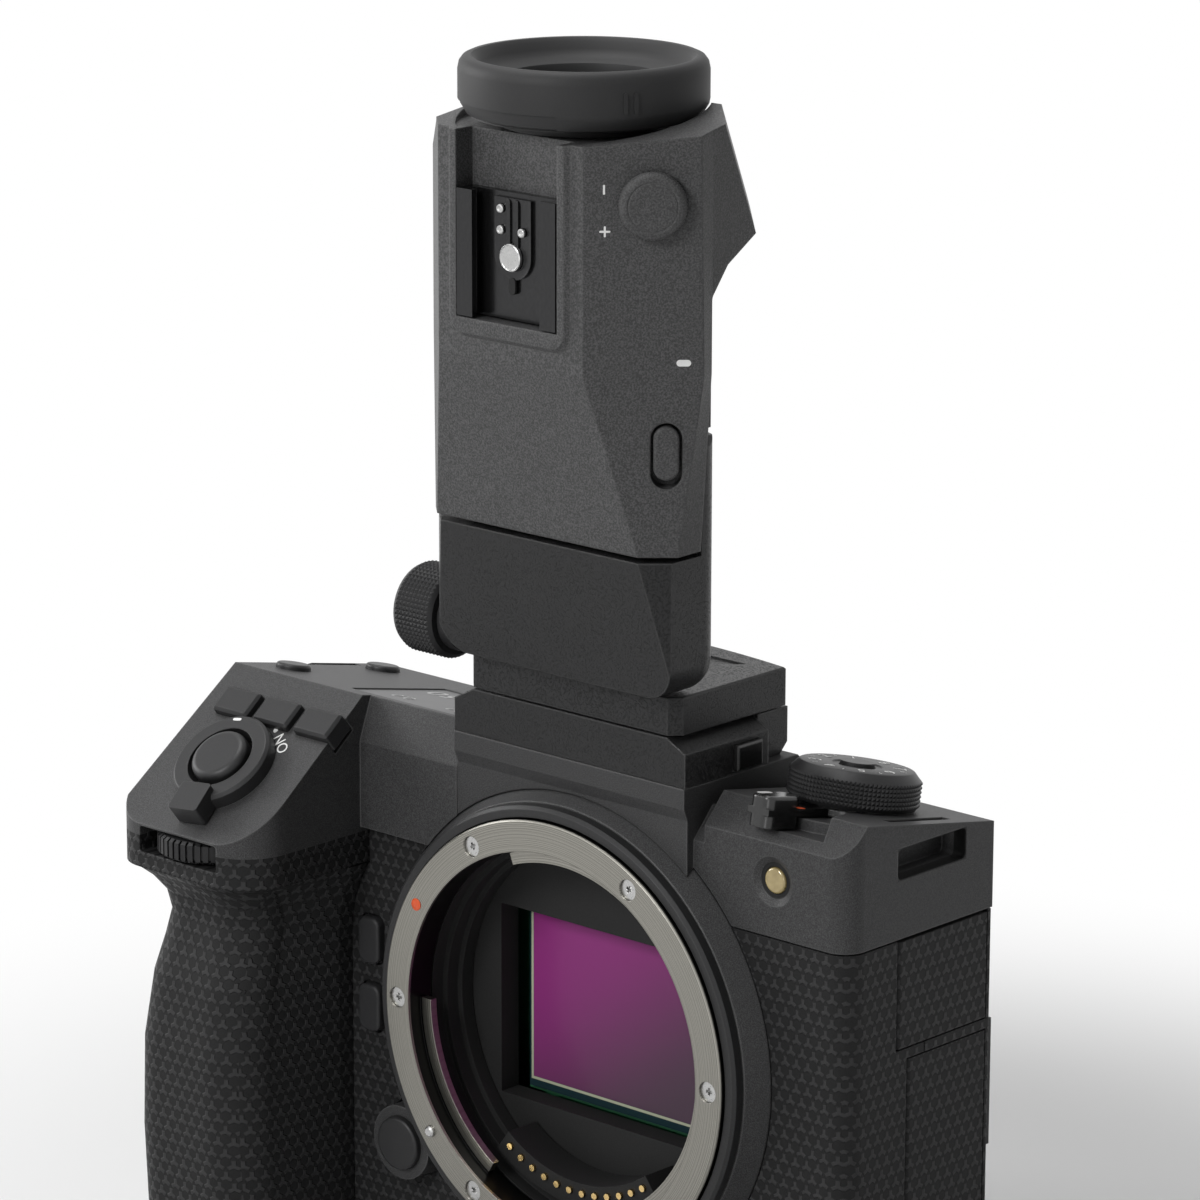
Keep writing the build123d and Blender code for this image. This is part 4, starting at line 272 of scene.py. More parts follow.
def shell_paint(name, covered):
    """The castings' paint; covered gives where a casting carries the covering's relief instead."""
    paint = Finish(name, metallic=0.2, specular_ior_level=0.22)
    where = paint.place()
    grain = paint.noise(where, 5.5, 2.0, 0.6)
    painted_edge_highlight = paint.edges(0.5)
    painted = paint.mix(grain.rise(0.35, 0.7), (0.026, 0.026, 0.0265), (0.064, 0.064, 0.065))
    # Painted highlight: the paint is coloured a lighter grey along the edges.
    painted = paint.mix(painted_edge_highlight * 0.6, painted, (0.15, 0.15, 0.15))
    if covered is None:
        paint.set("Base Color", painted)
        paint.set("Roughness", grain * 0.14 + 0.40 - painted_edge_highlight * 0.08)
        paint.bump(grain, paint_depth, 0.8, 0.45)
    else:
        axes = paint.axes(where)
        boss, own_grain = hide_relief(paint, where, axes)
        # Painted shade: the focus lamp's bore and the strap bar's window are coloured unlit near
        # black.
        mask = covered(axes)
        bore_up = axes[2] - focus_lamp_z
        bore_across = axes[0] - focus_lamp_x
        bore = (bore_up * bore_up + bore_across * bore_across).root() < focus_bore
        bar = (axes[0] > bar_side) * (axes[2] > bar_foot) * (axes[2] < bar_top)
        bar = bar * (abs(axes[1] - bar_middle) < bar_half)
        painted = paint.mix(bore.most(bar), painted, unlit)
        hide = paint.mix(boss, hide_valley, hide_top)
        paint.set("Base Color", paint.mix(mask, painted, hide))
        paint.set("Roughness", (grain * 0.14 + 0.40) * (1 - mask) + (0.6 - boss * 0.14) * mask)
        relief = grain * paint_depth * (1 - mask)
        relief = relief + (boss + own_grain * 0.15) * hide_depth * mask
        paint.bump(relief, 1.0, 0.85, 0.45)
    return paint


pod_fold = 79.6            # below it the pod is covered
pod_inside = -47.0
rear_cover_foot = 4.0
rear_cover_top = 80.4
rear_middle = -13.1
rear_half = 74


def covered_pod(axes):
    """Where the top plate's pod carries the covering's relief."""
    return (axes[2] < pod_fold) * (axes[0] < pod_inside)


def covered_rear(axes):
    """Where the rear shell's ends carry the covering's relief."""
    between = (axes[2] < rear_cover_top) * (axes[2] > rear_cover_foot)
    return between * (abs(axes[0] - rear_middle) > rear_half)


plain_paint = shell_paint("body_paint", None)
pod_paint = shell_paint("pod_paint", covered_pod)
rear_paint = shell_paint("rear_paint", covered_rear)
coat(plain_paint, "front_shell", "base_plate")
coat(pod_paint, "top_plate")
coat(rear_paint, "rear_shell")

# Leather: a moulded rubber covering with rows of small three-armed bosses, glued to the shells
# and the side doors.
leather = Finish("leather", specular_ior_level=0.2)
skin_place = leather.place()
skin_boss, skin_grain = hide_relief(leather, skin_place, leather.axes(skin_place))
leather.set("Base Color", leather.mix(skin_boss, hide_valley, hide_top))
leather.set("Roughness", 0.6 - skin_boss * 0.14 + skin_grain * 0.06)
leather.bump(skin_boss + skin_grain * 0.15, hide_depth, 0.85, 0.4)
coat(leather, "front_skin", "grip_skin", "terminal_door_upper", "terminal_door_lower", "card_door")

# Mount: a ring of nickel-plated brass, turned on a lathe, so its fine scratches run round the
# lens axis. Six screws hold it, and the wall inside it is dark.
nickel = Finish("mount_nickel", metallic=1.0)
ring_axes = nickel.axes(nickel.place())
lens_height = 52.1
ring_up = ring_axes[2] - lens_height
ring_reach = (ring_axes[0] * ring_axes[0] + ring_up * ring_up).root()
lathe = nickel.node("ShaderNodeTexNoise", {"noise_dimensions": "1D"},
                    {"W": ring_reach, "Scale": 7.0, "Detail": 4.0, "Roughness": 0.7})[0]
ring_face = nickel.mix(lathe.rise(0.3, 0.7), (0.15, 0.145, 0.128), (0.36, 0.35, 0.315))
wall_reach = 34.7
wall_front = -26.1
ring_wall = (ring_reach > wall_reach) * (ring_axes[1] > wall_front)
nickel.set("Base Color", nickel.mix(ring_wall, ring_face, (0.02, 0.02, 0.02)))
nickel.set("Roughness", lathe * 0.2 + 0.22)
nickel.bump(lathe, 0.012, 0.5, 0.15)
coat(nickel, "mount_ring")

# Screws, lock pin, axle and tripod bush: plain turned or stamped steel, screwed or pressed
# into the castings.
steel = Finish("steel", metallic=1.0)
steel_place = steel.place()
steel_grain = steel.noise(steel_place, 3.0, 3.0)
steel.set("Base Color", steel.mix(steel_grain, (0.40, 0.40, 0.40), (0.58, 0.58, 0.57)))
steel.set("Roughness", steel_grain * 0.2 + 0.2)
steel.bump(steel_grain, 0.01, 0.4, 0.12)
coat(steel, "mount_screws", "lens_lock_pin", "tilt_axle", "tripod_socket")

# Levers, buttons and the trim ring: turned or milled aluminium, anodised black, with a painted
# highlight along the edges.
anodised = Finish("black_anodised", metallic=0.3, specular_ior_level=0.25)
dark_place = anodised.place()
dark_grain = anodised.noise(dark_place, 5.0, 3.0)
dark_edge_highlight = anodised.edges(0.35)
dark_face = anodised.mix(dark_grain, (0.020, 0.020, 0.0205), (0.040, 0.040, 0.041))
# Painted highlight: a lighter black along the edges.
anodised.set("Base Color", anodised.mix(dark_edge_highlight * 0.5, dark_face, (0.075, 0.075, 0.075)))
anodised.set("Roughness", dark_grain * 0.16 + 0.32)
anodised.bump(dark_grain, 0.03, 0.5, 0.3)
coat(anodised, "mount_trim_ring", "shutter_button", "power_lever", "dial_lock",
     "lens_release_button", "panel_button_1", "panel_button_2", "panel_button_3", "top_button_1",
     "top_button_2")

# Still and movie lever and the adapter's two catches: moulded parts with a hard glossy black
# finish, sprung from inside.
gloss_black = Finish("gloss_black", roughness=0.22, coat_weight=0.1)
gloss_place = gloss_black.place()
gloss_grain = gloss_black.noise(gloss_place, 4.0, 2.0)
gloss_face = gloss_black.mix(gloss_grain, (0.008, 0.008, 0.008), (0.016, 0.016, 0.016))
gloss_black.set("Base Color", gloss_face)
gloss_black.bump(gloss_grain, 0.01, 0.3, 0.35)
coat(gloss_black, "still_movie_lever", "adapter_release_left", "adapter_release_right")

# Light baffle, shutter frame and contact block: screwed in behind the mount, and painted dead
# black so that they throw no light back.
dead_black = Finish("dead_black", roughness=0.62, specular_ior_level=0.2)
matt_place = dead_black.place()
matt_grain = dead_black.noise(matt_place, 5.0, 2.0)
matt_face = dead_black.mix(matt_grain, (0.010, 0.010, 0.010), (0.020, 0.020, 0.020))
dead_black.set("Base Color", matt_face)
dead_black.bump(matt_grain, 0.03, 0.5, 0.2)
coat(dead_black, "light_baffle", "shutter_frame", "contact_block")

# Battery, side buttons, battery door and the screen's arm and frame: black plastic, moulded
# with a fine grain.
plastic = Finish("black_plastic", specular_ior_level=0.25)
plastic_place = plastic.place()
plastic_grain = plastic.noise(plastic_place, 4.0, 2.0)
plastic.set("Base Color", plastic.mix(plastic_grain, (0.016, 0.016, 0.017), (0.030, 0.030, 0.031)))
plastic.set("Roughness", plastic_grain * 0.15 + 0.40)
plastic.bump(plastic_grain, 0.03, 0.5, 0.4)
coat(plastic, "battery", "front_button_1", "front_button_2", "rear_button_1", "rear_button_2",
     "screen_arm", "screen_frame", "battery_door")

# Adapter and tilting arm: die-cast, with a glossy black paint full of small dark pits. The
# swivel plate turns on the base, and the arm tilts on its axle.
pitted = Finish("pitted_gloss", metallic=0.1, specular_ior_level=0.3)
pit_place = pitted.place()
pit_wander = pitted.noise(pit_place, 2.6, 3.0, 0.75)
pits = pit_wander.rise(0.535, 0.585)
pit_edge_highlight = pitted.edges(0.5)
pit_face = pitted.mix(pits, (0.014, 0.014, 0.0145), (0.004, 0.004, 0.004))
# Painted highlight: the paint is coloured a lighter grey along the edges.
pitted.set("Base Color", pitted.mix(pit_edge_highlight * 0.6, pit_face, (0.14, 0.14, 0.14)))
pitted.set("Roughness", 0.34 + pits * 0.2 - pit_edge_highlight * 0.08)
pitted.bump(1 - pits, 0.10, 0.9, 0.5)
coat(pitted, "adapter_base", "swivel_plate", "tilt_arm")

# Viewfinder housing and its release slider: moulded in a dark grey with a fine even grain, and
# latched to the arm.
grained = Finish("grained_housing", specular_ior_level=0.22)
grained_place = grained.place()
housing_grain = grained.noise(grained_place, 3.0, 3.0, 0.65)
housing_edge_highlight = grained.edges(0.6)
housing_face = grained.mix(housing_grain.rise(0.38, 0.66), (0.038, 0.038, 0.0385),
                           (0.092, 0.092, 0.093))
# Painted highlight: the housing is coloured a lighter grey along the edges.
grained.set("Base Color", grained.mix(housing_edge_highlight * 0.45, housing_face, (0.15, 0.15, 0.15)))
grained.set("Roughness", 0.5 - housing_grain * 0.1)
grained.bump(housing_grain, 0.10, 0.9, 0.6)
coat(grained, "evf_housing", "evf_release")

# Glass over the screen and in the eyepiece: dark and smooth, and glued in from the front.
glass = Finish("dark_glass", roughness=0.1, specular_ior_level=0.3)
glass_place = glass.place()
glass_cloud = glass.noise(glass_place, 0.05, 1.0)
glass.set("Base Color", glass.mix(glass_cloud, (0.008, 0.009, 0.011), (0.016, 0.017, 0.02)))
coat(glass, "screen_glass", "eyepiece_lens")

# Status monitor: a satin grey display window, glued into the left deck and set just below its
# face.
window = Finish("monitor_window", roughness=0.4, specular_ior_level=0.2)
window_place = window.place()
window_cloud = window.noise(window_place, 0.3, 2.0)
window.set("Base Color", window.mix(window_cloud, (0.085, 0.085, 0.086), (0.11, 0.11, 0.112)))
coat(window, "monitor_glass")

# Image sensor: filter glass over the chip, glued in its frame. Painted light runs over it from a
# lighter magenta at the upper left to a darker grey violet at the lower right, with a pale line and
# a teal rim.
sensor = Finish("sensor_glass", roughness=0.2, specular_ior_level=0.12)
sensor_axes = sensor.axes(sensor.place())
sensor_up = sensor_axes[2] - lens_height
# Painted light: lighter magenta at the upper left, darker grey violet at the lower right.
painted_light_slant = (sensor_axes[0] * 0.016 - sensor_up * 0.022 + 0.45).rise(0.0, 1.0)
sensor_hue_and_light = sensor.mix(painted_light_slant, (0.24, 0.032, 0.175), (0.075, 0.045, 0.068))
sensor_half_width = 23.4
sensor_half_height = 17.6
edge_gap = (sensor_half_width - abs(sensor_axes[0])).least(sensor_half_height - abs(sensor_up))
rim_line = edge_gap.rise(0.35, 0.5) * (1 - edge_gap.rise(0.85, 1.0))
sensor_hue_and_light = sensor.mix(1 - edge_gap.rise(0.9, 1.05), sensor_hue_and_light, (0.012, 0.03, 0.036))
sensor.set("Base Color", sensor.mix(rim_line, sensor_hue_and_light, (0.42, 0.44, 0.32)))
coat(sensor, "sensor_glass")

# Contact pins, focus lamp and circuit boards: gold-plated pins sprung in their block, an amber
# lens pressed into the top plate, and green resin boards on posts.
gold = Finish("gold", metallic=1.0, roughness=0.25)
gold_place = gold.place()
gold.set("Base Color", gold.mix(gold.noise(gold_place, 3.0), (0.72, 0.50, 0.2), (0.85, 0.63, 0.3)))
coat(gold, "contact_pins")
amber = Finish("amber_lamp", roughness=0.12, coat_weight=1.0, metallic=0.2)
amber_place = amber.place()
amber_cloud = amber.noise(amber_place, 0.7)
amber.set("Base Color", amber.mix(amber_cloud, (0.22, 0.16, 0.05), (0.42, 0.33, 0.14)))
coat(amber, "af_lamp")
board = Finish("circuit_board", roughness=0.5)
board_place = board.place()
board_cloud = board.noise(board_place, 0.4)
board.set("Base Color", board.mix(board_cloud, (0.01, 0.07, 0.03), (0.02, 0.11, 0.05)))
coat(board, "sensor_board", "main_board")

# Tilt knob: an aluminium wheel, knurled in ten rows, with a plain collar. It is pressed on the
# axle's end.
knurled = Finish("knurled_black", metallic=0.3, specular_ior_level=0.25)
knurl_place = knurled.place()
knurl_grain = knurled.noise(knurl_place, 6.0, 2.0)
knurled.set("Base Color", knurled.mix(knurl_grain, (0.014, 0.014, 0.0145), (0.030, 0.030, 0.031)))
knurled.set("Roughness", knurl_grain * 0.12 + 0.34)
knurled.bump(knurl_grain, 0.02, 0.4)


def turned(name, outline, sides=96):
    """A part as turned on a lathe, from rings of radius and height in millimetres, foot first."""
    bpy.ops.object.select_all(action="DESELECT")
    radius, height = outline[0]
    bpy.ops.mesh.primitive_circle_add(vertices=sides, radius=radius / 1000, fill_type="NGON",
                                      location=(0, 0, 0))
    made = bpy.context.object
    made.name = made.data.name = name
    bpy.ops.object.mode_set(mode="EDIT")
    bpy.ops.mesh.select_mode(type="FACE")
    bpy.ops.mesh.select_all(action="SELECT")
    bpy.ops.transform.translate(value=(0, 0, height / 1000))
    for next_radius, next_height in outline[1:]:
        bpy.ops.mesh.extrude_region_move(
            TRANSFORM_OT_translate={"value": (0, 0, (next_height - height) / 1000)})
        ratio = next_radius / radius
        bpy.ops.transform.resize(value=(ratio, ratio, 1))
        radius, height = next_radius, next_height
    bpy.ops.mesh.select_all(action="SELECT")
    bpy.ops.mesh.normals_make_consistent(inside=False)
    bpy.ops.object.mode_set(mode="OBJECT")
    return made


def pick(made, test):
    """Opens a piece for editing with only the faces that pass the test selected."""
    bpy.context.view_layer.objects.active = made
    bpy.ops.object.mode_set(mode="EDIT")
    bpy.ops.mesh.select_mode(type="FACE")
    bpy.ops.mesh.select_all(action="DESELECT")
    bpy.ops.object.mode_set(mode="OBJECT")
    for face in made.data.polygons:
        face.select = test(face)
    bpy.ops.object.mode_set(mode="EDIT")


def stand(origin, across, out):
    """A place on the object in millimetres: local x across, local z out of the surface."""
    z_line = Vector(out).normalized()
    x_line = Vector(across).normalized()
    turn = Matrix((x_line, z_line.cross(x_line), z_line)).transposed().to_4x4()
    return Matrix.Translation(Vector(origin) / 1000) @ turn


def fit(made, place, finish, body, *replaced):
    """Puts a finished piece in its place, with its finish and the body it moves with."""
    if bpy.context.mode != "OBJECT":
        bpy.ops.object.mode_set(mode="OBJECT")
    made.data.transform(place)
    made.data.update()
    bpy.ops.object.select_all(action="DESELECT")
    made.select_set(True)
    bpy.context.view_layer.objects.active = made
    bpy.ops.object.shade_smooth_by_angle(angle=radians(32))
    made.data.materials.clear()
    made.data.materials.append(finish.material)
    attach(made, body)
    if replaced:
        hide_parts(*replaced)
    return made


knob_place = (-28.2, -16.7, 124.3)
knob_radius = 8.1
knob_foot = 3.3            # knurled from here up
knob_step = 0.92
knob_crest = 11.6
knob_teeth = 56
knob_relief = 0.00034
knob_rows = [(knob_radius, knob_foot + row * knob_step) for row in range(10)]
knob = turned("tilt_knob_knurled",
              [(6.6, 0), (6.6, 2.4), (5.9, 2.5), (5.9, 2.8), (7.5, 2.8)] + knob_rows
              + [(7.9, 12.1), (7.3, 12.5), (6.3, 12.5), (6.0, 12.2), (0.05, 12.2)], knob_teeth)
pick(knob, lambda face: knob_foot < face.center.z * 1000 < knob_crest and abs(face.normal.z) < 0.2)
bpy.ops.mesh.poke(offset=knob_relief)
fit(knob, stand(knob_place, (0, 1, 0), (-1, 0, 0)), knurled, "tilt_knob", "tilt_knob")

# Mode dial: turned from aluminium and knurled in six rows, with numbers filled white on its top.
# It turns on a spindle in the right deck.
deck_slope = 0.19
deck_level = 100.3
deck_fall = atan(deck_slope)


def on_deck(x, y, out=0):
    """A place on the right deck, which falls to the back."""
    level = deck_level - deck_slope * y
    return stand((x, y + out * sin(deck_fall), level + out * cos(deck_fall)), (1, 0, 0),
                 (0, sin(deck_fall), cos(deck_fall)))


dial_x = 45.3
dial_y = 2.9
dial_radius = 11.55
dial_foot = 0.5
dial_crest = 5.2
dial_step = 0.78
dial_teeth = 92
dial_relief = 0.00030
dial_rows = [(dial_radius, dial_foot + row * dial_step) for row in range(7)]
dial = turned("mode_dial_knurled", [(11.2, 0), (11.4, 0.3)] + dial_rows
              + [(11.3, 5.4), (10.3, 6.5), (10.0, 6.65), (4.6, 6.65), (4.3, 6.4), (3.3, 6.4),
                 (3.2, 6.0), (3.2, 3.6), (0.05, 3.6)], dial_teeth)
pick(dial, lambda face: dial_foot < face.center.z * 1000 < dial_crest and abs(face.normal.z) < 0.2)
bpy.ops.mesh.poke(offset=dial_relief)
fit(dial, on_deck(dial_x, dial_y, 0.4), knurled, "mode_dial", "mode_dial")
white_ink = Finish("white_ink", roughness=0.45)
ink_place = white_ink.place()
ink_cloud = white_ink.noise(ink_place, 4.0)
white_ink.set("Base Color", white_ink.mix(ink_cloud, (0.74, 0.74, 0.73), (0.82, 0.82, 0.81)))


def lettering(name, words, size, place, finish, body):
    """Raised printing of plain figures or words, a few hundredths of a millimetre thick."""
    bpy.ops.object.select_all(action="DESELECT")
    bpy.ops.object.text_add(location=(0, 0, 0))
    made = bpy.context.object
    made.data.body = words
    made.data.size = size / 1000
    made.data.align_x = "CENTER"
    made.data.align_y = "CENTER"
    made.data.extrude = 0.00002
    made.data.resolution_u = 3
    bpy.ops.object.convert(target="MESH")
    made = bpy.context.object
    made.name = made.data.name = name
    return fit(made, place, finish, body)


dial_numbers = 8
number_turn = 360 / dial_numbers
dial_face = on_deck(dial_x, dial_y, 7.09)
for number in range(1, dial_numbers + 1):
    around = Matrix.Rotation(radians(number * number_turn), 4, "Z")
    around = around @ Matrix.Translation((0, 0.0074, 0))
    lettering(f"dial_number_{number}", str(number), 3.4, dial_face @ around, white_ink, "mode_dial")
    if number < dial_numbers:
        between = Matrix.Rotation(radians((number + 0.5) * number_turn), 4, "Z")
        between = between @ Matrix.Translation((0, 0.0084, 0))
        lettering(f"dial_tick_{number}", "I", 1.6, dial_face @ between, white_ink, "mode_dial")


# Control dials: turned aluminium wheels with deep straight ribs, on short pins in the top
# plate. They lie flat, and their rims show in its front and rear windows.
def ribbed_wheel(name, radius, height, ribs, place, body):
    """A wheel whose rim is cut into straight ribs."""
    half = height / 2
    pin = 1.5
    pin_end = half + 1.6
    shoulder = radius - 0.7
    wheel = turned(name, [(pin, -pin_end), (pin, -half), (shoulder, -half), (radius, 0.5 - half),
                          (radius, half - 0.5), (shoulder, half), (pin, half), (pin, pin_end)],
                   ribs * 3)
    rim = (radius - 1) / 1000
    pick(wheel, lambda face: abs(face.normal.z) < 0.9 and face.center.to_2d().length > rim)
    groove = [face.index for face in wheel.data.polygons if face.select]
    bpy.ops.object.mode_set(mode="OBJECT")
    for index in groove:
        face = wheel.data.polygons[index]
        share = (face.center.to_2d().angle_signed(Vector((1, 0))) / (2 * pi) * ribs) % 1.0
        face.select = share < 0.34
    chosen = {index for index in groove if wheel.data.polygons[index].select}
    pick(wheel, lambda face: face.index in chosen)
    bpy.ops.mesh.extrude_region_shrink_fatten(TRANSFORM_OT_shrink_fatten={"value": -0.0005})
    return fit(wheel, place, knurled, body, name.replace("_ribbed", ""))


front_wheel_place = stand((-70.9, -41.2, 79.0), (1, 0, 0), (0, 0, 1))
rear_wheel_place = stand((-60.0, 13.4, 87.5), (1, 0, 0), (0, 0, 1))
ribbed_wheel("front_dial_ribbed", 10.4, 4.0, 44, front_wheel_place, "front_dial")
ribbed_wheel("rear_dial_ribbed", 9.0, 5.0, 38, rear_wheel_place, "rear_dial")

# Dioptre dial: a flat moulded button with a toothed rim, on a pin in the viewfinder's slanting
# side. White marks are printed beside it.
facet_turn = 0.749
arm_foot_z = 120.15


def on_facet(along, height, out=0):
    """A place on the viewfinder's slanting side: along it, and over the arm's foot."""
    return stand((16.2 + along * cos(facet_turn) + out * sin(facet_turn),
                  along * sin(facet_turn) - 35.5 - out * cos(facet_turn), arm_foot_z + height),
                 (cos(facet_turn), sin(facet_turn), 0), (sin(facet_turn), -cos(facet_turn), 0))


dioptre = turned("dioptre_dial_toothed",
                 [(1.6, -2.0), (1.6, 0.3), (5.6, 0.3), (5.75, 0.5), (5.75, 1.7), (5.15, 2.35),
                  (4.6, 2.55), (4.4, 2.55), (4.25, 2.4), (4.1, 2.55), (0.05, 2.55)], 64)
pick(dioptre, lambda face: face.center.to_2d().length > 0.0052 and 0.5 < face.center.z * 1000 < 2.3)
bpy.ops.mesh.poke(offset=0.00022)
fit(dioptre, on_facet(11.9, 87.6), grained, "dioptre_dial", "dioptre_dial")


def pill(name, length, width, thick, place, finish, body):
    """A flat bar with round ends, lying along local x."""
    bpy.ops.object.select_all(action="DESELECT")
    bpy.ops.mesh.primitive_cube_add(size=1, location=(0, 0, 0))
    made = bpy.context.object
    made.name = made.data.name = name
    made.data.transform(Matrix.Diagonal((length / 1000, width / 1000, thick / 1000, 1)))
    bpy.ops.object.mode_set(mode="EDIT")
    bpy.ops.mesh.select_mode(type="EDGE")
    bpy.ops.mesh.select_all(action="DESELECT")
    bpy.ops.object.mode_set(mode="OBJECT")
    points = made.data.vertices
    for edge in made.data.edges:
        first, second = (points[index].co for index in edge.vertices)
        edge.select = abs(first.z - second.z) > thick / 2000
    bpy.ops.object.mode_set(mode="EDIT")
    bpy.ops.mesh.bevel(offset=min(length, width) * 0.498 / 1000, segments=8)
    bpy.ops.object.mode_set(mode="OBJECT")
    return fit(made, place, finish, body)


upright = Matrix.Rotation(radians(90), 4, "Z")
pill("minus_mark", 1.7, 0.36, 0.04, on_facet(3.65, 90.2, 0.03) @ upright, white_ink, "finder")
pill("plus_mark_tall", 1.9, 0.36, 0.04, on_facet(3.8, 83.0, 0.03) @ upright, white_ink, "finder")
pill("plus_mark_wide", 1.9, 0.36, 0.04, on_facet(3.8, 83.0, 0.035), white_ink, "finder")
pill("fold_mark", 2.5, 1.15, 0.04, on_facet(17.3, 60.3, 0.03), white_ink, "finder")

# Hot shoe: black nickel-plated steel rails, with a spring plate held by three small screws round
# the round contact.
shoe_black = Finish("shoe_black", metallic=0.9)
shoe_place = shoe_black.place()
shoe_grain = shoe_black.noise(shoe_place, 2.0, 2.0)
shoe_face = shoe_black.mix(shoe_grain, (0.030, 0.030, 0.031), (0.055, 0.055, 0.056))
shoe_black.set("Base Color", shoe_face)
shoe_black.set("Roughness", shoe_grain * 0.12 + 0.16)
shoe_black.bump(shoe_grain, 0.008, 0.4, 0.12)
coat(shoe_black, "hot_shoe")
shoe_middle = -1.3
shoe_floor = -33.6


def on_shoe(x, height, out=0):
    """A place on the shoe's floor, measured over the arm's foot."""
    return stand((x, shoe_floor - out, arm_foot_z + height), (1, 0, 0), (0, -1, 0))


bpy.ops.object.select_all(action="DESELECT")
bpy.ops.mesh.primitive_cube_add(size=1, location=(0, 0, 0))
spring_plate = bpy.context.object
spring_plate.name = spring_plate.data.name = "shoe_spring_plate"
spring_plate.data.transform(Matrix.Diagonal((0.0086, 0.0142, 0.0006, 1)))
bpy.ops.object.mode_set(mode="EDIT")
bpy.ops.mesh.select_mode(type="EDGE")
bpy.ops.mesh.select_all(action="DESELECT")
bpy.ops.object.mode_set(mode="OBJECT")
corner_points = spring_plate.data.vertices
for edge in spring_plate.data.edges:
    near, far = (corner_points[index].co for index in edge.vertices)
    edge.select = abs(near.z - far.z) > 0.0003 and near.y < 0
bpy.ops.object.mode_set(mode="EDIT")
bpy.ops.mesh.bevel(offset=0.0041, segments=10)
bpy.ops.object.mode_set(mode="OBJECT")
pick(spring_plate, lambda face: face.normal.z > 0.9)
bpy.ops.mesh.inset(thickness=0.0009, depth=-0.0002)
fit(spring_plate, on_shoe(shoe_middle, 79.2, 0.32), shoe_black, "finder")
for name, shift in (("shoe_tongue_left", -0.95), ("shoe_tongue_right", 0.95)):
    pill(name, 9.8, 0.95, 0.5, on_shoe(shoe_middle + shift, 81.2, 0.5) @ upright, shoe_black,
         "finder")
pill("shoe_slot", 3.0, 1.5, 0.5, on_shoe(shoe_middle, 71.0, 0.5) @ upright, dead_black, "finder")
for order, (x, height) in enumerate(((-4.0, 84.3), (-4.0, 80.6), (1.0, 80.6))):
    tiny = turned(f"shoe_screw_{order + 1}",
                  [(0.8, 0), (0.8, 0.35), (0.65, 0.5), (0.4, 0.5), (0.3, 0.35), (0.02, 0.35)], 24)
    fit(tiny, on_shoe(x, height, 0.6), steel, "finder")
contact = turned("shoe_contact", [(2.45, 0), (2.45, 0.55), (2.25, 0.7), (2.15, 0.55), (1.9, 0.5),
                                  (0.02, 0.75)], 48)
fit(contact, on_shoe(shoe_middle - 0.2, 76.0, 0.55), steel, "finder")

# Eyecup: a moulded soft rubber ring with a dished top, two grip ribs and a shallow step along
# its lower edge. It is pushed over the eyepiece.
rubber = Finish("soft_rubber", specular_ior_level=0.2)
rubber_place = rubber.place()
rubber_grain = rubber.noise(rubber_place, 4.0, 2.0)
rubber.set("Base Color", rubber.mix(rubber_grain, (0.024, 0.024, 0.0245), (0.034, 0.034, 0.0345)))
rubber.set("Roughness", rubber_grain * 0.1 + 0.5)
rubber.bump(rubber_grain, 0.025, 0.4)
coat(rubber, "eyecup", "focus_stick")
cup_outline = [(14.5, -1.6), (14.5, 0.0), (19.2, 0.0), (20.6, 0.5), (21.7, 2.3), (21.85, 3.1),
               (21.85, 8.2), (21.6, 9.4), (21.0, 10.2), (20.2, 10.55), (19.5, 10.5), (18.7, 9.9),
               (18.0, 8.7), (17.2, 7.8), (16.0, 7.2), (14.6, 6.9), (14.1, 6.7), (13.9, 6.2),
               (13.8, 5.2), (13.5, 5.0), (12.9, 4.9), (12.7, 4.4), (12.7, -1.6)]
cup_y = -17.6
cup = turned("eyecup_dished", cup_outline, 96)
pick(cup, lambda face: abs(face.normal.z) > 0.99 and face.center.to_2d().length < 0.001)
bpy.ops.mesh.delete(type="FACE")
bpy.ops.mesh.select_all(action="DESELECT")
bpy.ops.mesh.select_mode(type="EDGE")
bpy.ops.mesh.select_non_manifold()
bpy.ops.mesh.bridge_edge_loops()
bpy.ops.mesh.select_all(action="SELECT")
bpy.ops.mesh.normals_make_consistent(inside=False)
bpy.ops.object.mode_set(mode="OBJECT")
pick(cup, lambda face: 0.02135 < face.center.to_2d().length and 2.0 < face.center.z * 1000 < 3.2
     or (face.center.to_2d().length > 0.0198 and face.center.z * 1000 < 2.4 and face.normal.z < 0))
low_band = {face.index for face in cup.data.polygons if face.select}
bpy.ops.object.mode_set(mode="OBJECT")
pick(cup, lambda face: face.index in low_band and face.center.y < -0.006 and face.center.x < 0.011)
bpy.ops.mesh.extrude_region_shrink_fatten(TRANSFORM_OT_shrink_fatten={"value": -0.0003})
fit(cup, stand((0, cup_y, 219.15), (1, 0, 0), (0, 0, 1)), rubber, "finder", "eyecup")
for order, rib_turn in enumerate((-28.5, -23.5)):
    rib = pill(f"eyecup_rib_{order + 1}", 3.6, 0.7, 0.8, Matrix.Identity(4), rubber, "finder")
    side = Vector((cos(radians(rib_turn)), sin(radians(rib_turn)), 0))
    rib.data.transform(stand((side.x * 21.75, side.y * 21.75 + cup_y, 224.4), (0, 0, 1), side))

# Lens index: a dot of orange-red enamel, filled into a shallow hole in the face of the mount.
enamel = Finish("red_enamel", roughness=0.3)
enamel_place = enamel.place()
enamel_cloud = enamel.noise(enamel_place, 2.0)
enamel.set("Base Color", enamel.mix(enamel_cloud, (0.62, 0.07, 0.012), (0.72, 0.10, 0.02)))
index_dot = turned("lens_index", [(1.15, 0), (1.15, 0.1), (0.9, 0.22), (0.05, 0.26)], 32)
fit(index_dot, stand((-32.9, -26.7, 71.1), (1, 0, 0), (0, -1, 0)), enamel, "body")

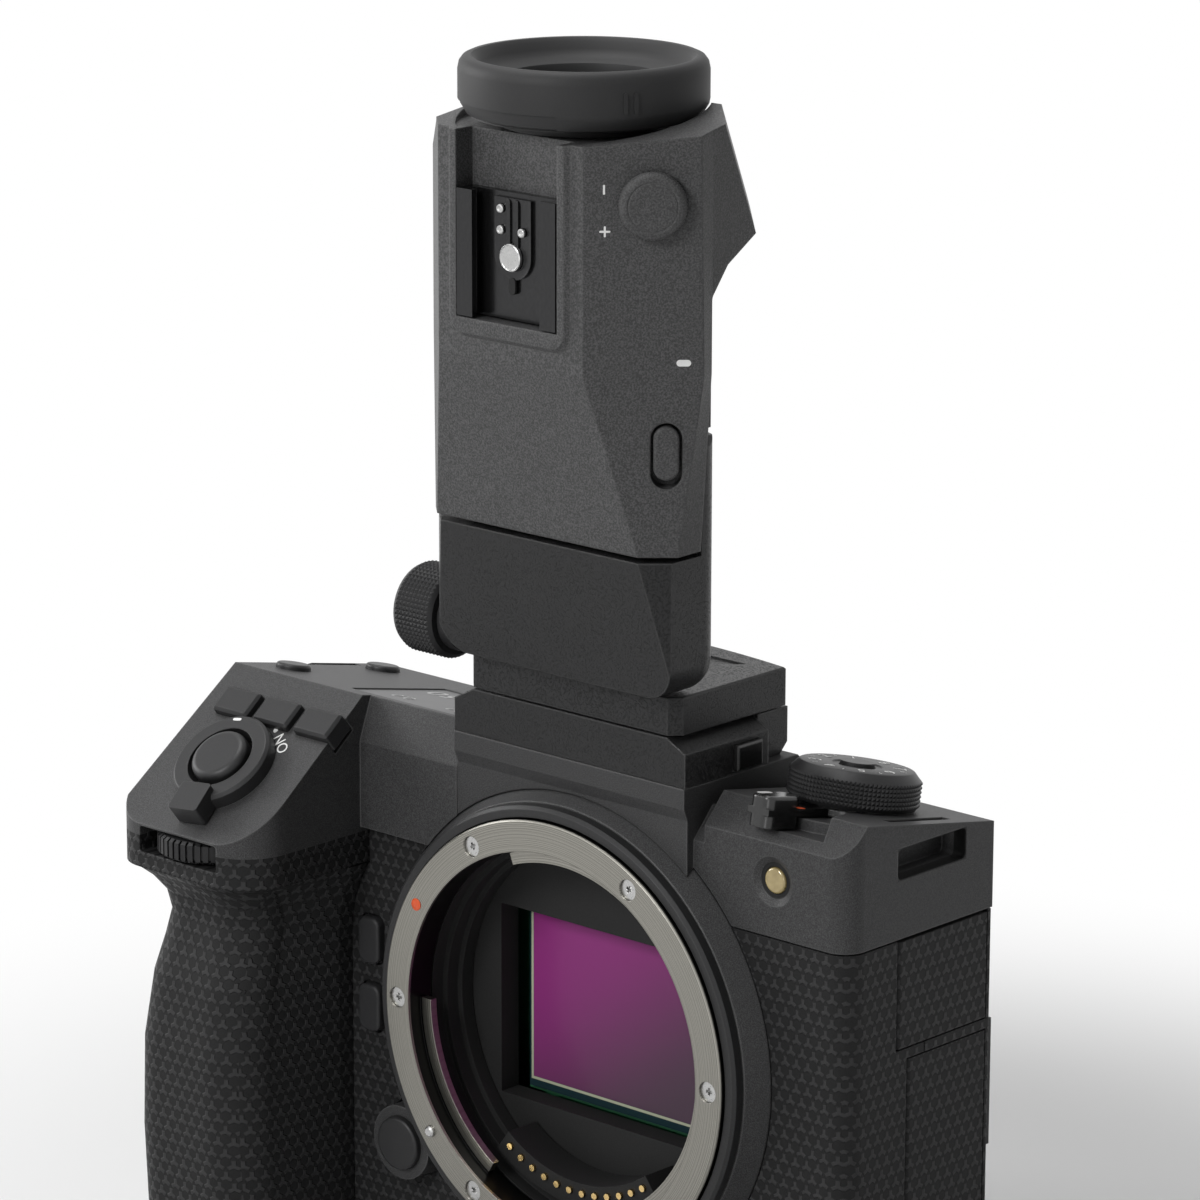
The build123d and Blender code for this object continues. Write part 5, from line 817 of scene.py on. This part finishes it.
# Markings of the power switch, the monitor and the still and movie lever: plain figures and
# marks, printed in white ink or filled with enamel.
panel_turn = radians(38.29)
panel_crest_y = -20.3
panel_crest_z = 105.663


def on_panel(x, slope, out=0):
    """A place on the sloping pod panel, measured down from its crest."""
    return stand((x, panel_crest_y - slope * cos(panel_turn) - out * sin(panel_turn),
                  panel_crest_z - slope * sin(panel_turn) + out * cos(panel_turn)), (1, 0, 0),
                 (0, -sin(panel_turn), cos(panel_turn)))


def turn_by(angle):
    """A turn in the plane of a marking."""
    return Matrix.Rotation(radians(angle), 4, "Z")


lettering("power_on", "ON", 3.2, on_panel(-62.6, 14.3, 0.03) @ turn_by(141), white_ink, "body")
power_dot = turned("power_dot", [(0.5, 0), (0.5, 0.04), (0.45, 0.05), (0.05, 0.05)], 24)
fit(power_dot, on_panel(-66.0, 12.0, 0.0), white_ink, "body")
lever_ring_top = 3.02
still_lever_top = 2.23
pill("power_mark", 1.9, 0.6, 0.05, on_panel(-73.0, 13.5, lever_ring_top) @ turn_by(12), white_ink,
     "power_lever")
pill("lever_mark", 3.2, 1.5, 0.05, on_deck(43.3, -18.6, still_lever_top) @ turn_by(85), white_ink,
     "still_movie_lever")
red_dot = turned("movie_dot", [(0.85, 0), (0.85, 0.04), (0.8, 0.05), (0.05, 0.05)], 24)
fit(red_dot, on_deck(46.9, -12.9), enamel, "body")
left_slope = 0.21
left_level = 101.4
left_fall = atan(left_slope)


def on_left_deck(x, y, out=0):
    """A place on the left deck, which falls to the back."""
    level = left_level - left_slope * y
    return stand((x, y + out * sin(left_fall), level + out * cos(left_fall)), (1, 0, 0),
                 (0, sin(left_fall), cos(left_fall)))


digits = Finish("monitor_digits", roughness=0.4)
digit_place = digits.place()
digit_cloud = digits.noise(digit_place, 3.0)
digits.set("Base Color", digits.mix(digit_cloud, (0.34, 0.34, 0.34), (0.42, 0.42, 0.42)))
monitor_drop = -0.22
monitor_lines = (("1250", 7.0, -50.5, 3.0), ("4.0", 5.5, -40.0, 3.0), ("200", 4.2, -37.5, -10.0),
                 ("0.0", 4.2, -52.0, -10.0))
for order, (words, size, x, y) in enumerate(monitor_lines):
    lettering(f"monitor_line_{order + 1}", words, size,
              on_left_deck(x, y, monitor_drop) @ turn_by(180), digits, "body")

# Floor: a plain pale table top that keeps the shadow near the object, and runs on into a white
# background. The world is white where it is seen, and dim where it lights.
shadow_reach = 110.0
white_reach = 260.0
bpy.ops.object.select_all(action="DESELECT")
bpy.ops.mesh.primitive_plane_add(size=6, location=(0, 0, cad_box[0].z))
floor = bpy.context.object
floor.name = "floor"
floor_finish = Finish("floor", base_color=(0.82, 0.82, 0.82), roughness=0.9)
floor_axes = floor_finish.axes(floor_finish.place())
from_object = (floor_axes[0] * floor_axes[0] + floor_axes[1] * floor_axes[1]).root()
rays = floor_finish.node("ShaderNodeLightPath", {}, {})
seen = rays[0].most(rays[3]).most(rays[6]) * from_object.rise(shadow_reach, white_reach)
white = floor_finish.node("ShaderNodeEmission", {},
                          {"Color": (1.0, 1.0, 1.0), "Strength": 1.0})[0]
shaded = Field(floor_finish, floor_finish.shader.outputs[0])
both = floor_finish.node("ShaderNodeMixShader", {}, {0: seen, 1: shaded, 2: white})[0]
surface = floor_finish.tree.nodes["Material Output"].inputs["Surface"]
floor_finish.tree.links.new(both.socket, surface)
coat(floor_finish, "floor")
world = bpy.context.scene.world or bpy.data.worlds.new("world")
bpy.context.scene.world = world
world.use_nodes = True
sky = world.node_tree
sky_rays = sky.nodes.new("ShaderNodeLightPath")
sky_seen = sky.nodes.new("ShaderNodeMath")
sky_seen.operation = "MAXIMUM"
sky.links.new(sky_rays.outputs["Is Camera Ray"], sky_seen.inputs[0])
sky.links.new(sky_rays.outputs["Is Transmission Ray"], sky_seen.inputs[1])
sky_glossy = sky.nodes.new("ShaderNodeMath")
sky_glossy.operation = "MAXIMUM"
sky.links.new(sky_seen.outputs[0], sky_glossy.inputs[0])
sky.links.new(sky_rays.outputs["Is Glossy Ray"], sky_glossy.inputs[1])
sky_level = sky.nodes.new("ShaderNodeMapRange")
sky_level.inputs["To Min"].default_value = 0.06
sky_level.inputs["To Max"].default_value = 1.0
sky.links.new(sky_glossy.outputs[0], sky_level.inputs["Value"])
sky.nodes["Background"].inputs["Color"].default_value = (1, 1, 1, 1)
sky.links.new(sky_level.outputs["Result"], sky.nodes["Background"].inputs["Strength"])
